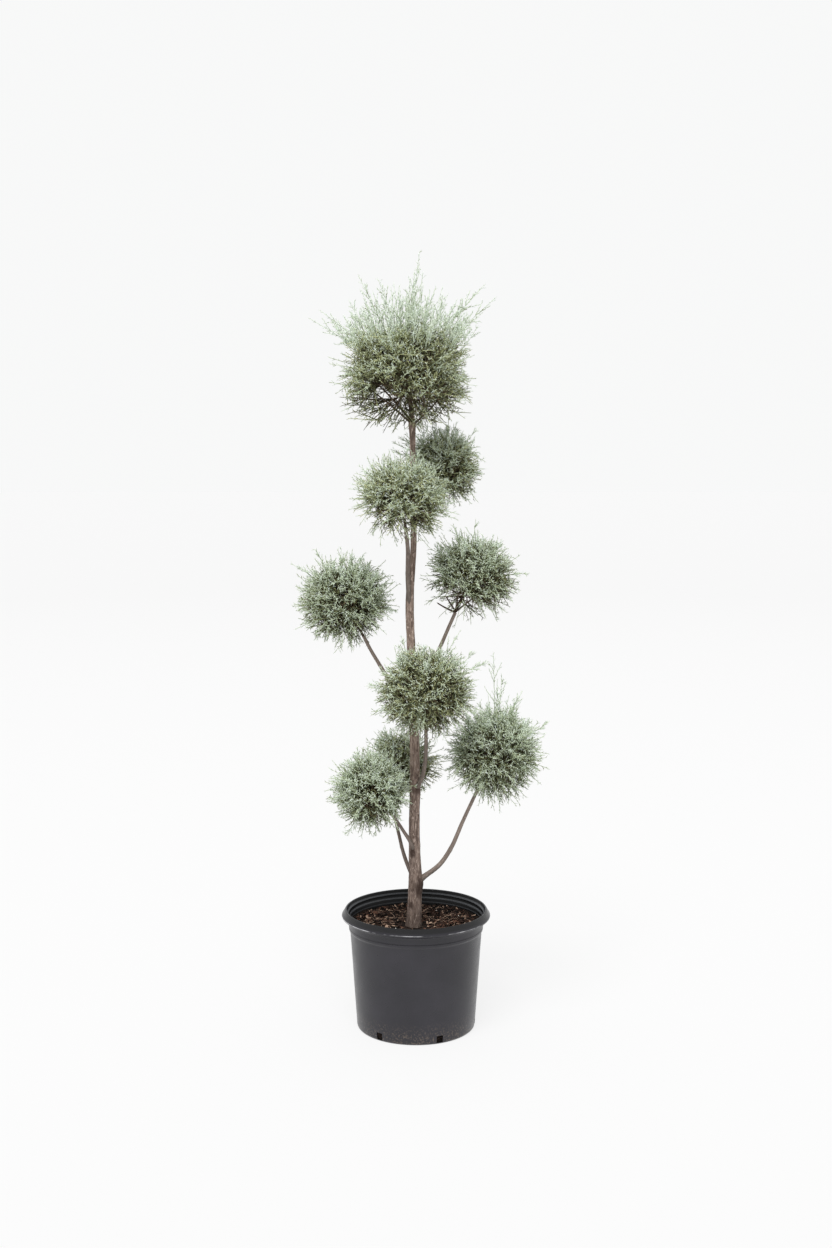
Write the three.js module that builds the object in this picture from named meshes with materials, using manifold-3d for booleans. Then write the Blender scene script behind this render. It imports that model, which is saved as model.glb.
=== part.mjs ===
// A potted cypress trained as a pompon topiary: a black nursery pot filled with bark mix, a slender
// leaning trunk, eight boughs, and nine clipped masses of fine foliage.
// Millimetres, +Z up, the origin at the middle of the pot's flat underside, -Y towards the viewer.

import * as THREE from "three";
import { mergeVertices } from "three/addons/utils/BufferGeometryUtils.js";
import Module from "manifold-3d";

const wasm = await Module();
wasm.setup();

// Driving dimensions of the pot
const CLEARANCE = 0.3; // gap between pieces that touch
const POT_HEIGHT = 288;
const POT_LIP_RADIUS = 178; // the widest ring, a 356 mm pot
const POT_LIP_HEIGHT = 271;
const POT_TOP_RADIUS = 167;
const POT_COLLAR_RADIUS = 161;
const POT_COLLAR_HEIGHT = 237; // foot of the band under the lip
const POT_COLLAR_STEP = 2.8;
const POT_LIP_DEPTH = 9; // how far the lip's underside falls back
const POT_LIP_EDGE = 3;
const POT_BEVEL = 1.2;
const POT_BASE_RADIUS = 142;
const POT_CORNER_RADIUS = 7;
const POT_THICKNESS = 2.6;
const POT_SIDES = 36;
const NOTCH_COUNT = 6;
const NOTCH_FIRST_ANGLE = -127; // degrees round from +X
const NOTCH_WIDTH = 15;
const NOTCH_HEIGHT = 17;
const NOTCH_DEPTH = 24;

// Driving dimensions of the soil
const SOIL_HEIGHT = 250; // level of the bark mix round the trunk
const SOIL_RISE = 4; // how much higher it lies against the pot
const SOIL_SEAT_RADIUS = 34; // flat patch under the trunk
const SOIL_LUMP = 2.5;
const SOIL_LUMP_LENGTH = 110; // from one lump to the next
const SOIL_EDGE_SHARE = 0.84; // where the rise against the pot starts
const SOIL_MIDDLE_SHARE = 0.6;

// Driving dimensions of the trunk, from its cut at soil level to the fork under the crown:
// height, then how far the axis has moved to the right and to the back, then the diameter
const TRUNK_STATIONS = [
  { height: SOIL_HEIGHT + CLEARANCE, right: -5, back: -21, diameter: 35 },
  { height: 347, right: -2, back: -17, diameter: 31 },
  { height: 462, right: -4, back: -10, diameter: 26 },
  { height: 666, right: -3, back: -2, diameter: 23 },
  { height: 912, right: -11, back: 0, diameter: 20 },
  { height: 1026, right: -14, back: 3, diameter: 18 },
  { height: 1153, right: -6, back: 7, diameter: 14 },
  { height: 1445, right: -9, back: 1, diameter: 13 },
];
const TRUNK_SIDES = 12;
const TRUNK_STEPS = 26;
const TRUNK_STEP_GROWTH = 1.25; // rings lie closer together near the foot
const ROOT_FLARE = 0.24; // share by which the foot is wider
const ROOT_FLARE_HEIGHT = 26;
const ROOT_LOBES = 5;
const ROOT_LOBE_DEPTH = 0.5;

// Driving dimensions of the boughs: the height where each leaves the trunk's axis, the bends on
// its way, the mass that it carries, and its diameters
const BOUGHS = [
  { name: "bough_low_right", leaves: 344, carries: "ball_low_right", thick: 12.5, thin: 7.6,
    bends: [[30, -15, 366], [57, -13, 390], [86, -11, 443], [112, -8, 500]] },
  { name: "bough_low_back", leaves: 356, carries: "ball_low_back", thick: 10, thin: 6.6,
    bends: [[-29, 16, 406], [-44, 42, 453], [-50, 64, 500]] },
  { name: "bough_low_left", leaves: 446, carries: "ball_low_left", thick: 10, thin: 6.6,
    bends: [[-27, -24, 478], [-45, -31, 508]] },
  { name: "bough_mid_front", leaves: 560, carries: "ball_mid_front", thick: 11.5, thin: 7.6,
    bends: [[16, -24, 618], [23, -42, 672]] },
  { name: "bough_mid_left", leaves: 716, carries: "ball_mid_left", thick: 11, thin: 7.6,
    bends: [[-42, -5, 803], [-71, -4, 853], [-104, -1, 908]] },
  { name: "bough_mid_right", leaves: 762, carries: "ball_mid_right", thick: 11, thin: 7.6,
    bends: [[26, 7, 849], [59, 14, 922], [80, 18, 970]] },
  { name: "bough_upper_front", leaves: 1012, carries: "ball_upper_front", thick: 12.5, thin: 8.5,
    bends: [[-19, -12, 1085], [-19, -23, 1150]] },
  { name: "bough_upper_back", leaves: 1196, carries: "ball_upper_back", thick: 9.5, thin: 6.6,
    bends: [[14, 28, 1246], [34, 50, 1280]] },
];
const BOUGH_SIDES = 6;
const BOUGH_STEP = 30; // length of limb to a ring
const BOUGH_COLLAR = 0.3; // swelling where a bough leaves the trunk
const BOUGH_COLLAR_SHARE = 0.16;
const BOUGH_END = 0.9; // share of a mass's reach where its bough stops

// Driving dimensions of the masses: the heart of each, its reach to the right, back and up, and
// the tips of the shoots that stand well out of it
const MASSES = [
  { name: "crown", seed: 3, heart: [-23, 0, 1552], reach: [152, 142, 118], limbs: 26, lift: 0.72,
    tips: [[9, -6, 1837], [-136, 22, 1788], [-88, -34, 1772], [48, 40, 1762], [163, 12, 1765],
      [186, -22, 1731], [-249, -8, 1684], [-226, 30, 1706], [-18, 96, 1748], [-20, -92, 1742],
      [-176, 12, 1470], [143, -18, 1528]] },
  { name: "ball_upper_back", seed: 5, heart: [66, 96, 1341], reach: [90, 90, 90], limbs: 9, lift: 0.1,
    tips: [[146, 92, 1432], [74, 100, 1441], [156, 108, 1328]] },
  { name: "ball_upper_front", seed: 8, heart: [-30, -92, 1274], reach: [108, 92, 94], limbs: 10, lift: 0,
    tips: [[-144, -96, 1256], [-130, -88, 1346], [88, -100, 1262], [-100, -104, 1190]] },
  { name: "ball_mid_left", seed: 13, heart: [-167, 0, 1028], reach: [110, 102, 102], limbs: 10, lift: 0.08,
    tips: [[-294, 6, 1116], [-236, -14, 1152], [-176, 10, 1157], [-288, -12, 962], [-40, 8, 1006],
      [-152, 14, 902]] },
  { name: "ball_mid_right", seed: 21, heart: [130, 25, 1082], reach: [106, 102, 100], limbs: 10, lift: 0.1,
    tips: [[141, 20, 1223], [88, 34, 1205], [270, 22, 1092], [18, 18, 1016], [194, 30, 974]] },
  { name: "ball_mid_front", seed: 34, heart: [23, -97, 831], reach: [112, 96, 101], limbs: 10, lift: 0.08,
    tips: [[135, -92, 923], [-116, -104, 842], [104, -90, 972], [168, -100, 900], [-34, -84, 958]] },
  { name: "ball_low_left", seed: 55, heart: [-106, -58, 588], reach: [93, 90, 96], limbs: 10, lift: 0,
    tips: [[-210, -62, 566], [-162, -66, 480], [-128, -58, 474], [-94, -64, 480]] },
  { name: "ball_low_back", seed: 89, heart: [-19, 98, 616], reach: [86, 84, 82], limbs: 9, lift: 0.06,
    tips: [[-96, 110, 682], [66, 104, 634]] },
  { name: "ball_low_right", seed: 144, heart: [188, 0, 668], reach: [110, 104, 108], limbs: 10, lift: 0.1,
    tips: [[182, -10, 912], [203, 14, 857], [253, -18, 820], [319, 6, 743], [70, 6, 626], [200, 10, 516]] },
];
const CORE_SHARE = 0.8; // size of a mass's dense core beside its reach
const CORE_LUMP = 0.08;
const CORE_LUMP_TURNS = [4, 5]; // across and up
const STEM_STEPS = 4;
const LIMB_SHARE = 0.66; // how far a mass's limbs run towards its reach
const LIMB_RADIUS = 3;
const LIMB_TAPER = 0.6;
const LIMB_FIRST = 0.6; // share of the stem from which limbs leave it
const LIMB_JITTER = 0.7; // radians
const LIFT_POWER = 0.7; // how soon the lift of a mass's upper side sets in
const SPRAYS_PER_LIMB = 3;
const SPRAY_FAN = 0.62; // radians that side sprays turn away from their limb
const SPRAY_FAN_SPREAD = 0.5;
const SPRAY_FIRST = 0.8; // share of the limb from which sprays leave it
const SPRAY_LAST = 0.95;
const END_SPRAY_FAN = 0.2;
const SPRAY_SPREAD = 0.2; // how unevenly the sprays reach out
const SPRAY_SHORTEST = 0.94;
const SPRAY_WIDTH = 36;
const SPRAY_THICKNESS = 2.4;
const SPRAY_LENGTH = 44; // of the sprays along a tall shoot
const SPRAY_OUTLINE = [[0.4, 0.75], [0.5, 0.35], [0.72, 1]]; // a tooth, a notch and a tooth
const SPRAY_MIDDLE = 0.46; // share of a spray's length where it is thickest
const SHOOT_RADIUS = 2.2;
const SHOOT_WIDTH = 22;
const SHOOT_FIRST = 0.85; // share of the core from which shoots leave it
const TALL_SHOOT = 70; // a shoot that stands further out than this carries sprays
const TALL_SHOOT_STEP = 70; // between those sprays
const SPACE_LIMIT = 1.2; // share of its reach that a mass keeps within
const SPACE_MARGIN = 0.05; // share of reach left free beside another mass
const LIMB_MARGIN = 2; // gap between a twig and any limb
const BEAD_STEP = 7; // between the beads that stand for a limb

const UPRIGHT = 0.9; // rise of a direction that counts as upright
const GOLDEN_ANGLE = Math.PI * (3 - Math.sqrt(5));
const UP = new THREE.Vector3(0, 0, 1);
const SPRAY_AXIS = new THREE.Vector3(0, 1, 0);

// Colours and finishes
const FINISHES = {
  pot: { color: 0x3f3f43, roughness: 0.5, metalness: 0 },
  soil: { color: 0x3a2b23, roughness: 0.95, metalness: 0 },
  bark: { color: 0x6f6058, roughness: 0.9, metalness: 0 },
  foliage: { color: 0x76826c, roughness: 0.8, metalness: 0 },
};

// A closed solid from any geometry: only positions are kept, and faces with no area are dropped.
function solidFrom(geometry) {
  const bare = geometry.clone();
  bare.deleteAttribute("normal");
  bare.deleteAttribute("uv");
  const merged = mergeVertices(bare, 1e-4);
  const corners = merged.index.array;
  const kept = [];
  for (let i = 0; i < corners.length; i += 3) {
    const [a, b, c] = [corners[i], corners[i + 1], corners[i + 2]];
    if (a !== b && b !== c && c !== a) kept.push(a, b, c);
  }
  return new wasm.Manifold(new wasm.Mesh({
    numProp: 3,
    vertProperties: new Float32Array(merged.attributes.position.array),
    triVerts: new Uint32Array(kept),
  }));
}

// The largest closed body of a solid: loose scraps and sealed hollows are left behind.
function largestBody(solid) {
  const bodies = solid.decompose();
  return bodies.reduce((best, body) => (body.volume() > best.volume() ? body : best));
}

// A named mesh of a solid, with its own origin at the given place.
function meshOf(name, solid, finish, place) {
  const { vertProperties, triVerts } = solid.getMesh();
  const geometry = new THREE.BufferGeometry();
  geometry.setAttribute("position", new THREE.BufferAttribute(new Float32Array(vertProperties), 3));
  geometry.setIndex(new THREE.BufferAttribute(new Uint32Array(triVerts), 1));
  geometry.translate(-place.x, -place.y, -place.z);
  const mesh = new THREE.Mesh(geometry, new THREE.MeshStandardMaterial(finish));
  mesh.name = name;
  mesh.position.copy(place);
  return mesh;
}

// A body turned about the Z axis from a profile of [radius, height] points.
function turned(profile) {
  const points = profile.map(([radius, height]) => new THREE.Vector2(radius, height));
  return new THREE.LatheGeometry(points, POT_SIDES).rotateX(Math.PI / 2);
}

// Random numbers from 0 to 1 that are the same on every run.
function seededDraws(seed) {
  let state = seed >>> 0;
  return () => {
    state = (Math.imul(state, 1664525) + 1013904223) >>> 0;
    return state / 4294967296;
  };
}

// The radius inside the pot's wall at a height, from the floor to the collar's foot.
function wallInside(height) {
  const share = height / POT_COLLAR_HEIGHT;
  const outside = THREE.MathUtils.lerp(POT_BASE_RADIUS, POT_COLLAR_RADIUS - POT_COLLAR_STEP, share);
  return outside - POT_THICKNESS;
}

// The moulded pot: a tapering wall, a stepped collar and a lip that turns out and down.
function makePot() {
  const wallTop = POT_COLLAR_RADIUS - POT_COLLAR_STEP;
  const collarInside = POT_COLLAR_RADIUS - POT_THICKNESS;
  const rimInside = POT_TOP_RADIUS - POT_THICKNESS;
  const cornerInset = POT_CORNER_RADIUS * (1 - Math.SQRT1_2);
  let pot = solidFrom(turned([
    [0, 0],
    [POT_BASE_RADIUS - POT_CORNER_RADIUS, 0],
    [POT_BASE_RADIUS - cornerInset, cornerInset],
    [POT_BASE_RADIUS, POT_CORNER_RADIUS],
    [wallTop, POT_COLLAR_HEIGHT - POT_BEVEL],
    [POT_COLLAR_RADIUS, POT_COLLAR_HEIGHT + POT_COLLAR_STEP],
    [POT_COLLAR_RADIUS + POT_BEVEL, POT_LIP_HEIGHT - POT_LIP_DEPTH],
    [POT_LIP_RADIUS - POT_BEVEL, POT_LIP_HEIGHT - POT_LIP_EDGE],
    [POT_LIP_RADIUS, POT_LIP_HEIGHT],
    [POT_TOP_RADIUS + POT_BEVEL, POT_HEIGHT - POT_BEVEL],
    [POT_TOP_RADIUS, POT_HEIGHT],
    [rimInside, POT_HEIGHT],
    [rimInside - POT_BEVEL, POT_LIP_HEIGHT + POT_BEVEL],
    [collarInside + POT_BEVEL, POT_LIP_HEIGHT],
    [collarInside, POT_COLLAR_HEIGHT + POT_COLLAR_STEP],
    [wallTop - POT_THICKNESS, POT_COLLAR_HEIGHT - POT_BEVEL],
    [wallInside(POT_THICKNESS), POT_THICKNESS],
    [0, POT_THICKNESS],
  ]));
  for (let i = 0; i < NOTCH_COUNT; i++) {
    const notch = new THREE.BoxGeometry(NOTCH_DEPTH, NOTCH_WIDTH, 2 * NOTCH_HEIGHT);
    notch.translate(POT_BASE_RADIUS, 0, 0);
    notch.rotateZ(THREE.MathUtils.degToRad(NOTCH_FIRST_ANGLE + (i * 360) / NOTCH_COUNT));
    pot = pot.subtract(solidFrom(notch));
  }
  return meshOf("pot", pot, FINISHES.pot, new THREE.Vector3());
}

// The bark mix: it fills the pot, lies flat under the trunk and lumpy round it.
function makeSoil() {
  const floor = POT_THICKNESS + CLEARANCE;
  const edge = SOIL_HEIGHT + SOIL_RISE;
  const stepFoot = POT_COLLAR_HEIGHT - POT_BEVEL;
  const collarInside = POT_COLLAR_RADIUS - POT_THICKNESS - 2 * CLEARANCE;
  const stepHead = POT_COLLAR_HEIGHT + POT_COLLAR_STEP + CLEARANCE;
  const geometry = turned([
    [0, floor],
    [wallInside(floor) - 2 * CLEARANCE, floor],
    [wallInside(stepFoot) - 2 * CLEARANCE, stepFoot],
    [collarInside - CLEARANCE, stepHead],
    [collarInside, edge],
    [SOIL_EDGE_SHARE * collarInside, edge],
    [SOIL_MIDDLE_SHARE * collarInside, SOIL_HEIGHT + SOIL_RISE / 2],
    [SOIL_SEAT_RADIUS, SOIL_HEIGHT],
    [0, SOIL_HEIGHT],
  ]);
  const foot = TRUNK_STATIONS[0];
  const lumpTurn = (2 * Math.PI) / SOIL_LUMP_LENGTH;
  const points = geometry.attributes.position;
  for (let i = 0; i < points.count; i++) {
    const [x, y, z] = [points.getX(i), points.getY(i), points.getZ(i)];
    const out = Math.hypot(x, y);
    const onTop = z > SOIL_HEIGHT - CLEARANCE && out < collarInside - CLEARANCE;
    if (!onTop) continue;
    const shift = 1 - out / collarInside;
    const lump = Math.sin(x * lumpTurn) * Math.cos(y * lumpTurn);
    const level = out > SOIL_SEAT_RADIUS + CLEARANCE ? z + SOIL_LUMP * lump : SOIL_HEIGHT;
    points.setXYZ(i, x + shift * foot.right, y + shift * foot.back, level);
  }
  return meshOf("soil", solidFrom(geometry), FINISHES.soil, new THREE.Vector3());
}

// The trunk's axis, and its radius beside its height.
const trunkAxis = new THREE.CatmullRomCurve3(
  TRUNK_STATIONS.map(({ height, right, back }) => new THREE.Vector3(right, back, height)),
  false, "centripetal",
);
const trunkGirth = new THREE.SplineCurve(
  TRUNK_STATIONS.map(({ height, diameter }) => new THREE.Vector2(height, diameter / 2)),
);
const trunkFoot = TRUNK_STATIONS[0].height;
const trunkHead = TRUNK_STATIONS[TRUNK_STATIONS.length - 1].height;

// The trunk's axis and radius at a height, found by halving.
function trunkAt(height) {
  let low = 0;
  let high = 1;
  while (high - low > 1e-9) {
    const middle = (low + high) / 2;
    if (trunkAxis.getPoint(middle).z < height) low = middle;
    else high = middle;
  }
  return { point: trunkAxis.getPoint(low), radius: trunkGirth.getPoint(low).y };
}

// The trunk as level rings round its axis, swelling into root lobes at the cut. It may be grown
// by an allowance, to cut its neighbours clear.
function trunkSolid(allowance) {
  const geometry = new THREE.CylinderGeometry(1, 1, 1, TRUNK_SIDES, TRUNK_STEPS).rotateX(Math.PI / 2);
  const points = geometry.attributes.position;
  for (let i = 0; i < points.count; i++) {
    const share = points.getZ(i) + 0.5;
    const height = trunkFoot + (trunkHead - trunkFoot) * share ** TRUNK_STEP_GROWTH;
    const { point, radius } = trunkAt(height);
    const angle = Math.atan2(points.getY(i), points.getX(i));
    const out = Math.hypot(points.getX(i), points.getY(i));
    const flare = ROOT_FLARE * Math.exp((trunkFoot - height) / ROOT_FLARE_HEIGHT);
    const lobe = 1 + ROOT_LOBE_DEPTH * Math.cos(ROOT_LOBES * angle);
    const girth = out * (radius * (1 + flare * lobe) + allowance);
    points.setXYZ(i, point.x + girth * Math.cos(angle), point.y + girth * Math.sin(angle), height);
  }
  return solidFrom(geometry);
}

// A round limb that tapers along a curve, with its ends closed.
function limbSolid(curve, radiusAt, sides, steps) {
  const geometry = new THREE.CylinderGeometry(1, 1, 1, sides, steps).rotateX(Math.PI / 2);
  const frames = curve.computeFrenetFrames(steps, false);
  const points = geometry.attributes.position;
  for (let i = 0; i < points.count; i++) {
    const share = points.getZ(i) + 0.5;
    const ring = Math.round(share * steps);
    const radius = radiusAt(share);
    const place = curve.getPointAt(share);
    place.addScaledVector(frames.normals[ring], points.getX(i) * radius);
    place.addScaledVector(frames.binormals[ring], points.getY(i) * radius);
    points.setXYZ(i, place.x, place.y, place.z);
  }
  return solidFrom(geometry);
}

// Lays a geometry that stands along +Y, one unit tall, from a root to a tip.
function laidOut(geometry, root, tip, twist) {
  const along = new THREE.Vector3().subVectors(tip, root);
  geometry.rotateY(twist);
  geometry.scale(1, along.length(), 1);
  geometry.applyQuaternion(new THREE.Quaternion().setFromUnitVectors(SPRAY_AXIS, along.normalize()));
  geometry.translate(root.x, root.y, root.z);
  return solidFrom(geometry);
}

// A three-sided twig from a flat root to a tip, which is flat too where it has a radius.
function twig(root, tip, radius, endRadius = 0) {
  const geometry = new THREE.CylinderGeometry(endRadius, radius, 1, 3, 1);
  return laidOut(geometry.translate(0, 0.5, 0), root, tip, 0);
}

// A spray as a toothed blade: both edges run out and in over the teeth, and it is thickest along
// its middle.
function spray(root, tip, width, twist) {
  const edge = SPRAY_OUTLINE.map(([along, out]) => [along, (out * width) / 2]);
  const mirrored = edge.map(([along, out]) => [along, -out]).reverse();
  const rim = [[0, 0], ...edge, [1, 0], ...mirrored];
  const thickness = SPRAY_THICKNESS / 2;
  const profile = [[0, -thickness], [1, 0], [0, thickness]].map(([x, y]) => new THREE.Vector2(x, y));
  const geometry = new THREE.LatheGeometry(profile, rim.length);
  const points = geometry.attributes.position;
  for (let i = 0; i < points.count; i++) {
    const [x, y, z] = [points.getX(i), points.getY(i), points.getZ(i)];
    const turn = Math.round((Math.atan2(x, z) / (2 * Math.PI)) * rim.length);
    const [along, out] = rim[(turn + rim.length) % rim.length];
    const onRim = Math.abs(y) < thickness / 2;
    if (onRim) points.setXYZ(i, out, along, 0);
    else points.setXYZ(i, 0, SPRAY_MIDDLE, y);
  }
  return laidOut(geometry, root, tip, twist);
}

// The masses, with their hearts, reaches and tips as vectors.
const masses = MASSES.map((mass) => ({
  ...mass,
  heart: new THREE.Vector3(...mass.heart),
  reach: new THREE.Vector3(...mass.reach),
  tips: mass.tips.map((tip) => new THREE.Vector3(...tip)),
}));

// How far out of a mass's heart a point lies, as a share of its reach.
function shareOfReach(mass, point) {
  return new THREE.Vector3().subVectors(point, mass.heart).divide(mass.reach).length();
}

// The curve and the radius of a bough, from the trunk's axis to its end inside the mass.
function boughPath({ leaves, bends, carries, thick, thin }) {
  const mass = masses.find(({ name }) => name === carries);
  const last = new THREE.Vector3(...bends[bends.length - 1]);
  const end = last.clone().lerp(mass.heart, 1 - BOUGH_END / shareOfReach(mass, last));
  const points = [trunkAt(leaves).point, ...bends.map((bend) => new THREE.Vector3(...bend)), end];
  const curve = new THREE.CatmullRomCurve3(points, false, "centripetal");
  const radiusAt = (share) => {
    const collar = BOUGH_COLLAR * Math.max(0, 1 - share / BOUGH_COLLAR_SHARE) ** 2;
    return (THREE.MathUtils.lerp(thick, thin, share) / 2) * (1 + collar);
  };
  return { curve, radiusAt, mass };
}

const boughs = BOUGHS.map((bough) => ({ ...bough, ...boughPath(bough) }));

// Spheres along the trunk and every bough, which the twigs have to stay clear of.
const limbBeads = [];
for (let height = trunkFoot; height < trunkHead - BEAD_STEP; height += BEAD_STEP) {
  limbBeads.push(trunkAt(height));
}
for (const { curve, radiusAt } of boughs) {
  const count = Math.ceil(curve.getLength() / BEAD_STEP);
  for (let i = 0; i <= count; i++) {
    limbBeads.push({ point: curve.getPointAt(i / count), radius: radiusAt(i / count) });
  }
}

// Whether a straight twig of some radius stays off every limb.
function clearOfLimbs(root, tip, radius) {
  const line = new THREE.Line3(root, tip);
  const nearest = new THREE.Vector3();
  return limbBeads.every((bead) => {
    line.closestPointToPoint(bead.point, true, nearest);
    return nearest.distanceTo(bead.point) > bead.radius + radius + LIMB_MARGIN;
  });
}

// Whether a point lies in the mass's own space and not nearer to another mass.
function inOwnSpace(mass, point) {
  const own = shareOfReach(mass, point);
  const others = masses.filter((other) => other !== mass);
  const apart = others.every((other) => own < shareOfReach(other, point) - SPACE_MARGIN);
  return apart && own < SPACE_LIMIT * (1 + mass.lift);
}

// The point at a share of the reach in some direction. The crown's upper side is lifted, so that
// its young shoots stand taller than the clipped ball below them.
function outPoint(mass, direction, share) {
  const lift = 1 + mass.lift * Math.max(0, direction.z) ** LIFT_POWER;
  return direction.clone().multiply(mass.reach).multiplyScalar(share * lift).add(mass.heart);
}

// The dense heart of a clipped mass, with gentle lumps.
function coreSolid(mass) {
  const geometry = new THREE.IcosahedronGeometry(1, 1);
  const points = geometry.attributes.position;
  const point = new THREE.Vector3();
  for (let i = 0; i < points.count; i++) {
    point.fromBufferAttribute(points, i).normalize();
    const across = Math.sin(CORE_LUMP_TURNS[0] * point.x + mass.seed);
    const up = Math.cos(CORE_LUMP_TURNS[1] * point.z - mass.seed);
    point.multiply(mass.reach).multiplyScalar(CORE_SHARE * (1 + CORE_LUMP * across * up)).add(mass.heart);
    points.setXYZ(i, point.x, point.y, point.z);
  }
  return solidFrom(geometry);
}

// Adds a spray to a mass, unless it would leave the mass's space or touch a limb.
function addSpray(solids, mass, root, tip, twist) {
  const fits = inOwnSpace(mass, tip) && clearOfLimbs(root, tip, SPRAY_WIDTH / 2);
  if (fits) solids.push(spray(root, tip, SPRAY_WIDTH, twist));
}

// A direction that leans away from another by some radians, turned round it.
function leaning(direction, lean, turn) {
  const reference = Math.abs(direction.z) > UPRIGHT ? SPRAY_AXIS : UP;
  const side = new THREE.Vector3().crossVectors(direction, reference).normalize();
  side.applyAxisAngle(direction, turn);
  return direction.clone().multiplyScalar(Math.cos(lean)).addScaledVector(side, Math.sin(lean));
}

// Adds a limb of a mass, from its stem towards one direction, with its end spray and side sprays.
function addLimb(solids, mass, root, direction, draw) {
  const tip = outPoint(mass, direction, LIMB_SHARE);
  if (!inOwnSpace(mass, tip) || !clearOfLimbs(root, tip, LIMB_RADIUS)) return;
  solids.push(twig(root, tip, LIMB_RADIUS, LIMB_TAPER * LIMB_RADIUS));
  const firstTurn = 2 * Math.PI * draw();
  for (let i = 0; i < SPRAYS_PER_LIMB; i++) {
    const fan = i === 0 ? END_SPRAY_FAN * draw() : SPRAY_FAN * (1 + SPRAY_FAN_SPREAD * (draw() - 0.5));
    const way = leaning(direction, fan, firstTurn + i * GOLDEN_ANGLE);
    const sprayRoot = root.clone().lerp(tip, THREE.MathUtils.lerp(SPRAY_FIRST, SPRAY_LAST, draw()));
    const sprayTip = outPoint(mass, way, SPRAY_SHORTEST + SPRAY_SPREAD * draw());
    addSpray(solids, mass, sprayRoot, sprayTip, Math.PI * draw());
  }
}

// Adds a long shoot that ends at a given tip: a narrow spray, or a twig with sprays where it is tall.
function addShoot(solids, mass, tip, draw) {
  const share = shareOfReach(mass, tip);
  const root = mass.heart.clone().lerp(tip, (SHOOT_FIRST * CORE_SHARE) / share);
  if (!clearOfLimbs(root, tip, SHOOT_RADIUS)) return;
  const outside = mass.heart.distanceTo(tip) * (1 - 1 / share);
  if (outside < TALL_SHOOT) {
    solids.push(spray(root, tip, SHOOT_WIDTH, Math.PI * draw()));
    return;
  }
  solids.push(twig(root, tip, SHOOT_RADIUS));
  const along = new THREE.Vector3().subVectors(tip, root);
  const direction = along.clone().normalize();
  const count = Math.floor(outside / TALL_SHOOT_STEP);
  for (let i = 0; i < count; i++) {
    const sprayRoot = tip.clone().addScaledVector(direction, -SPRAY_LENGTH - i * TALL_SHOOT_STEP);
    const way = leaning(direction, SPRAY_FAN, i * GOLDEN_ANGLE + draw());
    const sprayTip = sprayRoot.clone().addScaledVector(way, SPRAY_LENGTH);
    solids.push(spray(sprayRoot, sprayTip, SHOOT_WIDTH, Math.PI * draw()));
  }
}

// Grows one mass from the stem that goes on from its bough: limbs spread by the golden angle, then
// the long shoots, all joined to the dense core.
function growMass(mass, limbEnd, limbDirection, limbRadius) {
  const draw = seededDraws(mass.seed);
  const stemRoot = limbEnd.clone().addScaledVector(limbDirection, CLEARANCE);
  const bend = stemRoot.clone().addScaledVector(limbDirection, stemRoot.distanceTo(mass.heart) / 2);
  const stem = new THREE.QuadraticBezierCurve3(stemRoot, bend, mass.heart);
  const stemRadius = (share) => THREE.MathUtils.lerp(limbRadius, LIMB_RADIUS, share);
  const solids = [coreSolid(mass), limbSolid(stem, stemRadius, BOUGH_SIDES, STEM_STEPS)];
  for (let i = 0; i < mass.limbs; i++) {
    const rise = 1 - (2 * i + 1) / mass.limbs;
    const turn = i * GOLDEN_ANGLE + LIMB_JITTER * draw();
    const flat = Math.sqrt(1 - rise * rise);
    const direction = new THREE.Vector3(flat * Math.cos(turn), flat * Math.sin(turn), rise);
    const root = stem.getPointAt(THREE.MathUtils.lerp(LIMB_FIRST, 1, draw()));
    addLimb(solids, mass, root, direction, draw);
  }
  for (const tip of mass.tips) addShoot(solids, mass, tip, draw);
  return largestBody(wasm.Manifold.union(solids));
}

// The potted plant
const pottedCypress = new THREE.Group();
const container = new THREE.Group();
container.add(makePot(), makeSoil());

const plant = new THREE.Group();
plant.add(meshOf("trunk", trunkSolid(0), FINISHES.bark, trunkAt(trunkFoot).point));

const trunkRoom = trunkSolid(CLEARANCE);
for (const { name, curve, radiusAt, mass } of boughs) {
  const steps = Math.round(curve.getLength() / BOUGH_STEP);
  const limb = limbSolid(curve, radiusAt, BOUGH_SIDES, steps);
  plant.add(meshOf(name, largestBody(limb.subtract(trunkRoom)), FINISHES.bark, curve.getPointAt(0)));
  const foliage = growMass(mass, curve.getPointAt(1), curve.getTangentAt(1), radiusAt(1));
  plant.add(meshOf(mass.name, foliage, FINISHES.foliage, mass.heart));
}

const crown = masses.find(({ name }) => name === "crown");
const fork = trunkAt(trunkHead);
plant.add(meshOf("crown", growMass(crown, fork.point, UP, fork.radius), FINISHES.foliage, crown.heart));

pottedCypress.add(container, plant);

export default pottedCypress;
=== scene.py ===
import math
import bpy
import numpy as np
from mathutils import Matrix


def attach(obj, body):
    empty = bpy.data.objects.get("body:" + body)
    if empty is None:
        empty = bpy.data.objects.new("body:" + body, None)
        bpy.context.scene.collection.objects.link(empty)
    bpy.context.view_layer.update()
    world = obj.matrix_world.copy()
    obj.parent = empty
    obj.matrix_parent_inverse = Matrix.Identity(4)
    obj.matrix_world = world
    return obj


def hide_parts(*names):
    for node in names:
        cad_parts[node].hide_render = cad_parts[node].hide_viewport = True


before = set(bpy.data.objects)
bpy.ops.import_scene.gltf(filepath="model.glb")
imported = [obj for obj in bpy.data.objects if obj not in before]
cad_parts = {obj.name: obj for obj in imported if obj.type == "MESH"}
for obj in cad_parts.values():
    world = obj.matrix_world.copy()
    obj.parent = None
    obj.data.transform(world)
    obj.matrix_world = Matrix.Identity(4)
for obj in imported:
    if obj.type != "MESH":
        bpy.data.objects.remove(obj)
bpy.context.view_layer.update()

# Camera
# It stands 3.6 m in front of the pot at chest height and looks a little down, so that the whole
# plant shows and the pot's rim opens into an ellipse.
camera = bpy.data.objects.new("camera", bpy.data.cameras.new("camera"))
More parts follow.
